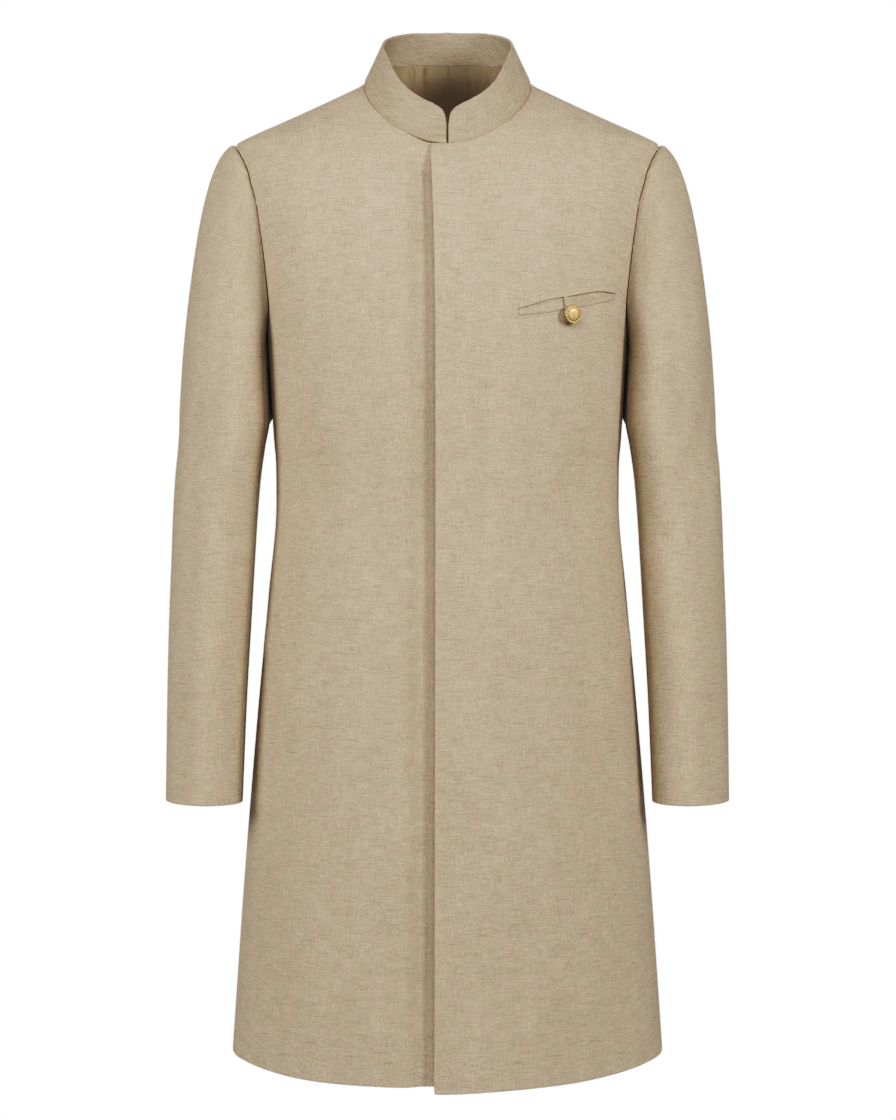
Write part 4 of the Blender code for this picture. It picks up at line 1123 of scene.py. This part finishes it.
BAG_BOTTOM_Z = -675.0
BAG_TOP_Z = -395.0
MOUTH_TOP_Z = -440.0
BAG_COLUMNS = 15
BAG_HOLLOW = 3.0
BAG_HOLLOW_BOTTOM_Z = -600.0
BAG_HOLLOW_TOP_Z = -470.0
BAG_FULLEST = 0.6  # share of the way round the bag where it is fullest
BAG_LAP = 1 / 13  # a share of the back, from its side seam; the bag ends half way across it
BAG_MARGIN = 3.0  # rows this far past its top and bottom are still taken

for side, mirrored in SIDES:
    front_angles, heights = front_grid(over=False)
    back_angles = (180 - seam_angle(heights[:, -1])) * (1 - BAG_LAP)
    side_z = heights[:, -1]
    rows = (side_z > BAG_BOTTOM_Z - BAG_MARGIN) & (side_z < BAG_TOP_Z + BAG_MARGIN)
    front = on_bust(front_angles[rows, -1 - BAG_COLUMNS :], heights[rows, -1 - BAG_COLUMNS :])
    back = on_bust(180 - back_angles[rows, None], heights[rows, -1:])
    points = np.concatenate([front, 0.5 * (front[:, -1:] + back)], axis=1)
    normals = bust_normal(np.concatenate([front, front[:, -1:]], axis=1))
    z = front[:, -1:, 2]
    hollow = BAG_HOLLOW * ease(z, BAG_BOTTOM_Z, BAG_HOLLOW_BOTTOM_Z)
    hollow = hollow * (1 - ease(z, BAG_HOLLOW_TOP_Z, MOUTH_TOP_Z))
    along = run_lengths(points, 1)
    aside = np.abs(along / along[:, -1:] - BAG_FULLEST) / (1 - BAG_FULLEST)
    share = 1 - np.clip(aside, 0, 1) ** 2
    # the bag gives way where a fold of the front presses in
    pressed = np.minimum(fold_lift(FRONT_FOLDS, worn_x(points, mirrored), points[..., 2]), 0)
    points = points - (CLOTH + LINING_CLEARANCE + hollow * share - pressed)[..., None] * normals
    outer, inner = cloth_faces(points, normals, LINING_WALL, (LINING_EDGE,) * 4, 0 * along)
    place = weave_place(points, 0)
    bag = add_cloth(f"side_pocket_{side}_bag", outer, inner, place, lining, mirrored)
    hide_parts(f"side_pocket_{side}")


# ---------------------------------------------------------------- the breast pocket
# A slanted jetted pocket high on the wearer's left: two narrow folded jets whose lips meet along
# the slit. A narrow tab comes out of the slit and is held by the button.

POCKET = (
    # x, top, upper_lip, lower_lip, bottom
    (69.0, -240.2, -245.2, -245.7, -252.0),
    (80.0, -236.3, -242.0, -242.5, -250.8),
    (94.0, -231.5, -237.0, -237.5, -249.1),
    (109.5, -227.3, -233.6, -234.1, -245.8),
    (118.5, -225.7, -231.7, -233.2, -243.8),
    (127.5, -224.1, -229.6, -235.1, -241.8),
    (141.5, -221.1, -226.2, -232.4, -238.4),
    (153.5, -218.9, -224.8, -228.6, -234.8),
    (161.5, -218.9, -225.0, -225.9, -232.4),
    (165.0, -218.3, -224.6, -225.1, -230.8),
)
JET_ROWS = 7
JET_COLUMNS = 60
JET_WALL = 1.0
JET_FOLDED = (0.7, 0.5, 0.0, 1.0)
LIP_ROLL = (0.8, 1.3)  # each lip's roll over its fold: lift, width
JET_SEWN = (0.4, 0.0, 0.5, 1.2)
TAB_TOP = (111.8, 119.3, -232.6)  # its two sides' x, and z
TAB_END = (113.2, 124.6, -251.0)
TAB_ROWS = 13
TAB_COLUMNS = 8
TAB_WALL = 1.2
TAB_FOLDED = (0.6, 0.6, 0.0, 1.0)
TAB_CLEARANCE = 1.1  # over the jets, whose lips roll up under it
TAB_LIFT = SEAM + JET_WALL + TAB_CLEARANCE


def jet_points(lower):
    """Outer points and normals of the upper or the lower jet, rows up and columns outwards."""
    x = np.linspace(POCKET[0][0], POCKET[-1][0], JET_COLUMNS)
    top, upper_lip, lower_lip, bottom = (curve_through(POCKET, i)(x) for i in range(1, 5))
    low, high = (bottom, lower_lip) if lower else (upper_lip, top)
    z = with_edge_lines(low + (high - low) * np.linspace(0, 1, JET_ROWS)[:, None])
    x = with_edge_lines(np.broadcast_to(x, (JET_ROWS, JET_COLUMNS)))
    points = front_point(x, z)
    normals = bust_normal(points)
    return points + (SEAM + JET_WALL) * normals, normals


for name, lower in (("upper", False), ("lower", True)):
    points, normals = jet_points(lower)
    edges = (JET_SEWN, JET_FOLDED) if lower else (JET_FOLDED, JET_SEWN)
    lift = fold_lift(FRONT_FOLDS, points[..., 0], points[..., 2])
    up = run_lengths(points, 0)
    from_lip = up[-1] - up if lower else up
    roll, roll_width = LIP_ROLL
    lift = lift + roll * np.exp(-((from_lip / roll_width) ** 2))
    outer, inner = cloth_faces(points, normals, JET_WALL, (*edges, JET_SEWN, JET_SEWN), lift)
    jet = add_cloth(f"pocket_jet_{name}_cloth", outer, inner, weave_place(points, 0), linen_body)
    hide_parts(f"pocket_jet_{name}")
    width, area = (0.013, 0.001) if lower else (0.01, 0.0007)

shares = np.linspace(0, 1, TAB_ROWS)[:, None]
left, right, z = (end + (top - end) * shares for top, end in zip(TAB_TOP, TAB_END))
x = left + (right - left) * np.linspace(0, 1, TAB_COLUMNS)
z = z + 0 * x
x, z = with_edge_lines(x), with_edge_lines(z)
points = front_point(x, z)
normals = bust_normal(points)
points = points + (TAB_LIFT + TAB_WALL) * normals
lift = fold_lift(FRONT_FOLDS, x, z)
outer, inner = cloth_faces(points, normals, TAB_WALL, (TAB_FOLDED,) * 4, lift)
tab = add_cloth("pocket_tab_cloth", outer, inner, weave_place(points, 0), linen_body)
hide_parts("pocket_tab")


# ---------------------------------------------------------------- the button
# A domed brass-coloured metal button on a short shank, sewn through the tab. A raised rim runs
# round its crown, with a ring of struck petals inside it and a small rosette at the middle.

BUTTON_X = 118.9
BUTTON_Z = -249.6
BUTTON_PROFILE = (
    # radius and height of each turn of the metal over the tab, in mm, from the shank up
    (2.2, 1.8),
    (7.4, 2.2),
    (8.7, 2.6),
    (9.2, 3.1),
    (9.3, 3.5),
    (9.15, 3.9),
    (8.8, 4.15),
    (8.4, 4.2),
    (8.0, 4.1),
    (7.7, 3.85),
    (7.4, 3.75),
    (6.4, 4.15),
    (5.0, 4.55),
    (3.4, 4.85),
    (2.4, 4.9),
    (1.2, 5.0),
)
PETALS = (
    # how many, distance from the middle, height, length, width, rise
    (14, 5.55, 4.32, 1.55, 0.98, 0.42),
    (7, 2.15, 4.80, 1.05, 0.80, 0.42),
)
BEADS = (44, 7.62, 3.82, 0.40)  # how many, distance from the middle, height, radius
MIDDLE_BEAD = (0.95, 4.95, 0.6)  # radius, height, how far it is flattened
CROWN_INSET = (0.5, 0.02)
BRASS = (0.46, 0.33, 0.17)
BRASS_FINISH = {"Roughness": 0.34, "Metallic": 1.0}
TARNISH_SCALE = 700
TARNISH_TONE = (0.5, 0.75)  # how strongly the tarnish shows, and its darkest tone
TARNISH_DULL = (0.3, 0.33)  # and the same for how dull it is


def struck_brass(name):
    """Brass-coloured plate with a fine, uneven tarnish."""
    material, nodes, links, shader = new_material(name, BRASS, BRASS_FINISH)
    place = nodes.new("ShaderNodeTexCoord").outputs["Object"]
    tarnish = nodes.new("ShaderNodeTexNoise")
    tarnish.inputs["Scale"].default_value = TARNISH_SCALE
    links.new(place, tarnish.inputs["Vector"])
    tone = add_math(nodes, links, "MULTIPLY_ADD", tarnish.outputs["Fac"], *TARNISH_TONE)
    set_shaded_colour(nodes, links, shader, BRASS, tone)
    dull = add_math(nodes, links, "MULTIPLY_ADD", tarnish.outputs["Fac"], *TARNISH_DULL)
    links.new(dull, shader.inputs["Roughness"])
    return material


bpy.ops.object.select_all(action="DESELECT")
radius, height = BUTTON_PROFILE[0]
bpy.ops.mesh.primitive_circle_add(vertices=64, radius=radius * MM, fill_type="NGON")
button = bpy.context.object
button.name = button.data.name = "pocket_button_metal"
bpy.ops.object.mode_set(mode="EDIT")
bpy.ops.mesh.select_all(action="SELECT")
for (before, low), (radius, high) in zip([(radius, 0.0), *BUTTON_PROFILE], BUTTON_PROFILE):
    bpy.ops.mesh.extrude_region_move(TRANSFORM_OT_translate={"value": (0, 0, (high - low) * MM)})
    bpy.ops.transform.resize(value=(radius / before, radius / before, 1))
bpy.ops.mesh.inset(thickness=CROWN_INSET[0] * MM, depth=CROWN_INSET[1] * MM)
bpy.ops.mesh.select_all(action="SELECT")
bpy.ops.mesh.normals_make_consistent(inside=False)
bpy.ops.object.mode_set(mode="OBJECT")

stamped = []
for count, distance, height, length, width, rise in PETALS:
    bpy.ops.mesh.primitive_uv_sphere_add(segments=12, ring_count=8, radius=MM)
    petal = bpy.context.object
    petal.scale = (length, width, rise)
    petal.location = (distance * MM, 0, height * MM)
    bpy.ops.object.transform_apply(location=True, rotation=False, scale=True)
    for i in range(count):
        copy = bpy.data.objects.new("petal", petal.data.copy())
        copy.rotation_euler.z = 2 * np.pi * i / count
        bpy.context.collection.objects.link(copy)
        stamped.append(copy)
    bpy.data.objects.remove(petal)
count, distance, height, radius = BEADS
for i in range(count):
    turn = 2 * np.pi * i / count
    place = (distance * MM * np.cos(turn), distance * MM * np.sin(turn), height * MM)
    bpy.ops.mesh.primitive_ico_sphere_add(subdivisions=2, radius=radius * MM, location=place)
    stamped.append(bpy.context.object)
radius, height, flattened = MIDDLE_BEAD
centre = (0, 0, height * MM)
bpy.ops.mesh.primitive_uv_sphere_add(segments=20, ring_count=10, radius=radius * MM, location=centre)
bpy.context.object.scale.z = flattened
stamped.append(bpy.context.object)

bpy.ops.object.select_all(action="DESELECT")
for part in stamped:
    part.select_set(True)
button.select_set(True)
bpy.context.view_layer.objects.active = button
bpy.ops.object.join()
button.data.shade_smooth()
button.data.materials.clear()
button.data.materials.append(struck_brass("struck_brass"))
seat = front_point(BUTTON_X, BUTTON_Z)
facing = bust_normal(seat)
button.rotation_mode = "QUATERNION"
button.rotation_quaternion = Vector(facing).to_track_quat("Z", "Y")
button.location = (seat + (TAB_LIFT + TAB_WALL + SEAM) * facing) * MM
bpy.ops.object.transform_apply(location=True, rotation=True, scale=True)
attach(button, "root")
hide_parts("pocket_button")


# ---------------------------------------------------------------- the studio
# A pale table well below the hem, a softbox at each side, a weaker one over the camera and one for
# the back. The camera stands level with the skirt and looks straight at the front.

FLOOR_Z = -1.45
FLOOR_RADIUS = 1.4
FLOOR_COLOUR = (0.9, 0.9, 0.9)
FLOOR_FINISH = {"Roughness": 0.9}
CAMERA_PLACE = (0.0005, -2.1, -0.488)
CAMERA_LENS = 66.18
CAMERA_SENSOR = 36
LIGHTS = (
    # name, place, what it points at, width and height, watts
    ("over_camera", (0.0, -1.7, 0.68), (0.0, 0.0, 0.22), (1.4, 0.8), 15.5),
    ("left_box", (-2.23, -1.34, 0.32), (0.0, 0.0, -0.12), (1.2, 1.2), 43.0),
    ("right_box", (1.99, -1.67, 0.42), (0.0, 0.0, -0.12), (0.7, 1.2), 42.5),
    ("behind", (0.0, 2.6, 0.6), (0.0, 0.0, -0.4), (2.0, 2.0), 70.0),
)
ROOM = 0.06  # how bright the room is to the coat, and how bright the backdrop is to the camera
BACKDROP = 1.0
RESPONSE = (
    # how light a tone shows, as on slide film: darks a little deeper, the paper white kept
    (0.1, 0.0565),
    (0.2, 0.168),
    (0.3, 0.2905),
    (0.4, 0.404),
    (0.5, 0.500),
    (0.6, 0.579),
    (0.7, 0.655),
    (0.8, 0.745),
    (0.9, 0.860),
)

bpy.ops.object.select_all(action="DESELECT")
centre = (0, 0, FLOOR_Z)
bpy.ops.mesh.primitive_circle_add(vertices=96, radius=FLOOR_RADIUS, fill_type="NGON", location=centre)
floor = bpy.context.object
floor.name = "floor"
floor.data.materials.append(new_material("floor", FLOOR_COLOUR, FLOOR_FINISH)[0])

for name, place, target, size, power in LIGHTS:
    lamp = bpy.data.lights.new(name, "AREA")
    lamp.shape, lamp.energy = "RECTANGLE", power
    lamp.size, lamp.size_y = size
    holder = bpy.data.objects.new(name, lamp)
    holder.location = place
    holder.rotation_mode = "QUATERNION"
    holder.rotation_quaternion = (Vector(target) - Vector(place)).to_track_quat("-Z", "Y")
    bpy.context.collection.objects.link(holder)

world = bpy.data.worlds.new("room")
world.use_nodes = True
bpy.context.scene.world = world
nodes, links = world.node_tree.nodes, world.node_tree.links
seen = nodes.new("ShaderNodeLightPath")
backdrop_ray = seen.outputs["Is Camera Ray"]
brightness = add_math(nodes, links, "MULTIPLY_ADD", backdrop_ray, BACKDROP - ROOM, ROOM)
links.new(brightness, nodes["Background"].inputs["Strength"])
nodes["Background"].inputs["Color"].default_value = (1, 1, 1, 1)

camera = bpy.data.cameras.new("camera")
camera.lens, camera.sensor_width = CAMERA_LENS, CAMERA_SENSOR
camera_object = bpy.data.objects.new("camera", camera)
camera_object.location = CAMERA_PLACE
camera_object.rotation_euler = (np.pi / 2, 0, 0)
bpy.context.collection.objects.link(camera_object)
bpy.context.scene.camera = camera_object
view = bpy.context.scene.view_settings
view.view_transform = "Standard"
view.use_curve_mapping = True
response = view.curve_mapping.curves[3]
for light, shown in RESPONSE:
    response.points.new(light, shown)
view.curve_mapping.update()
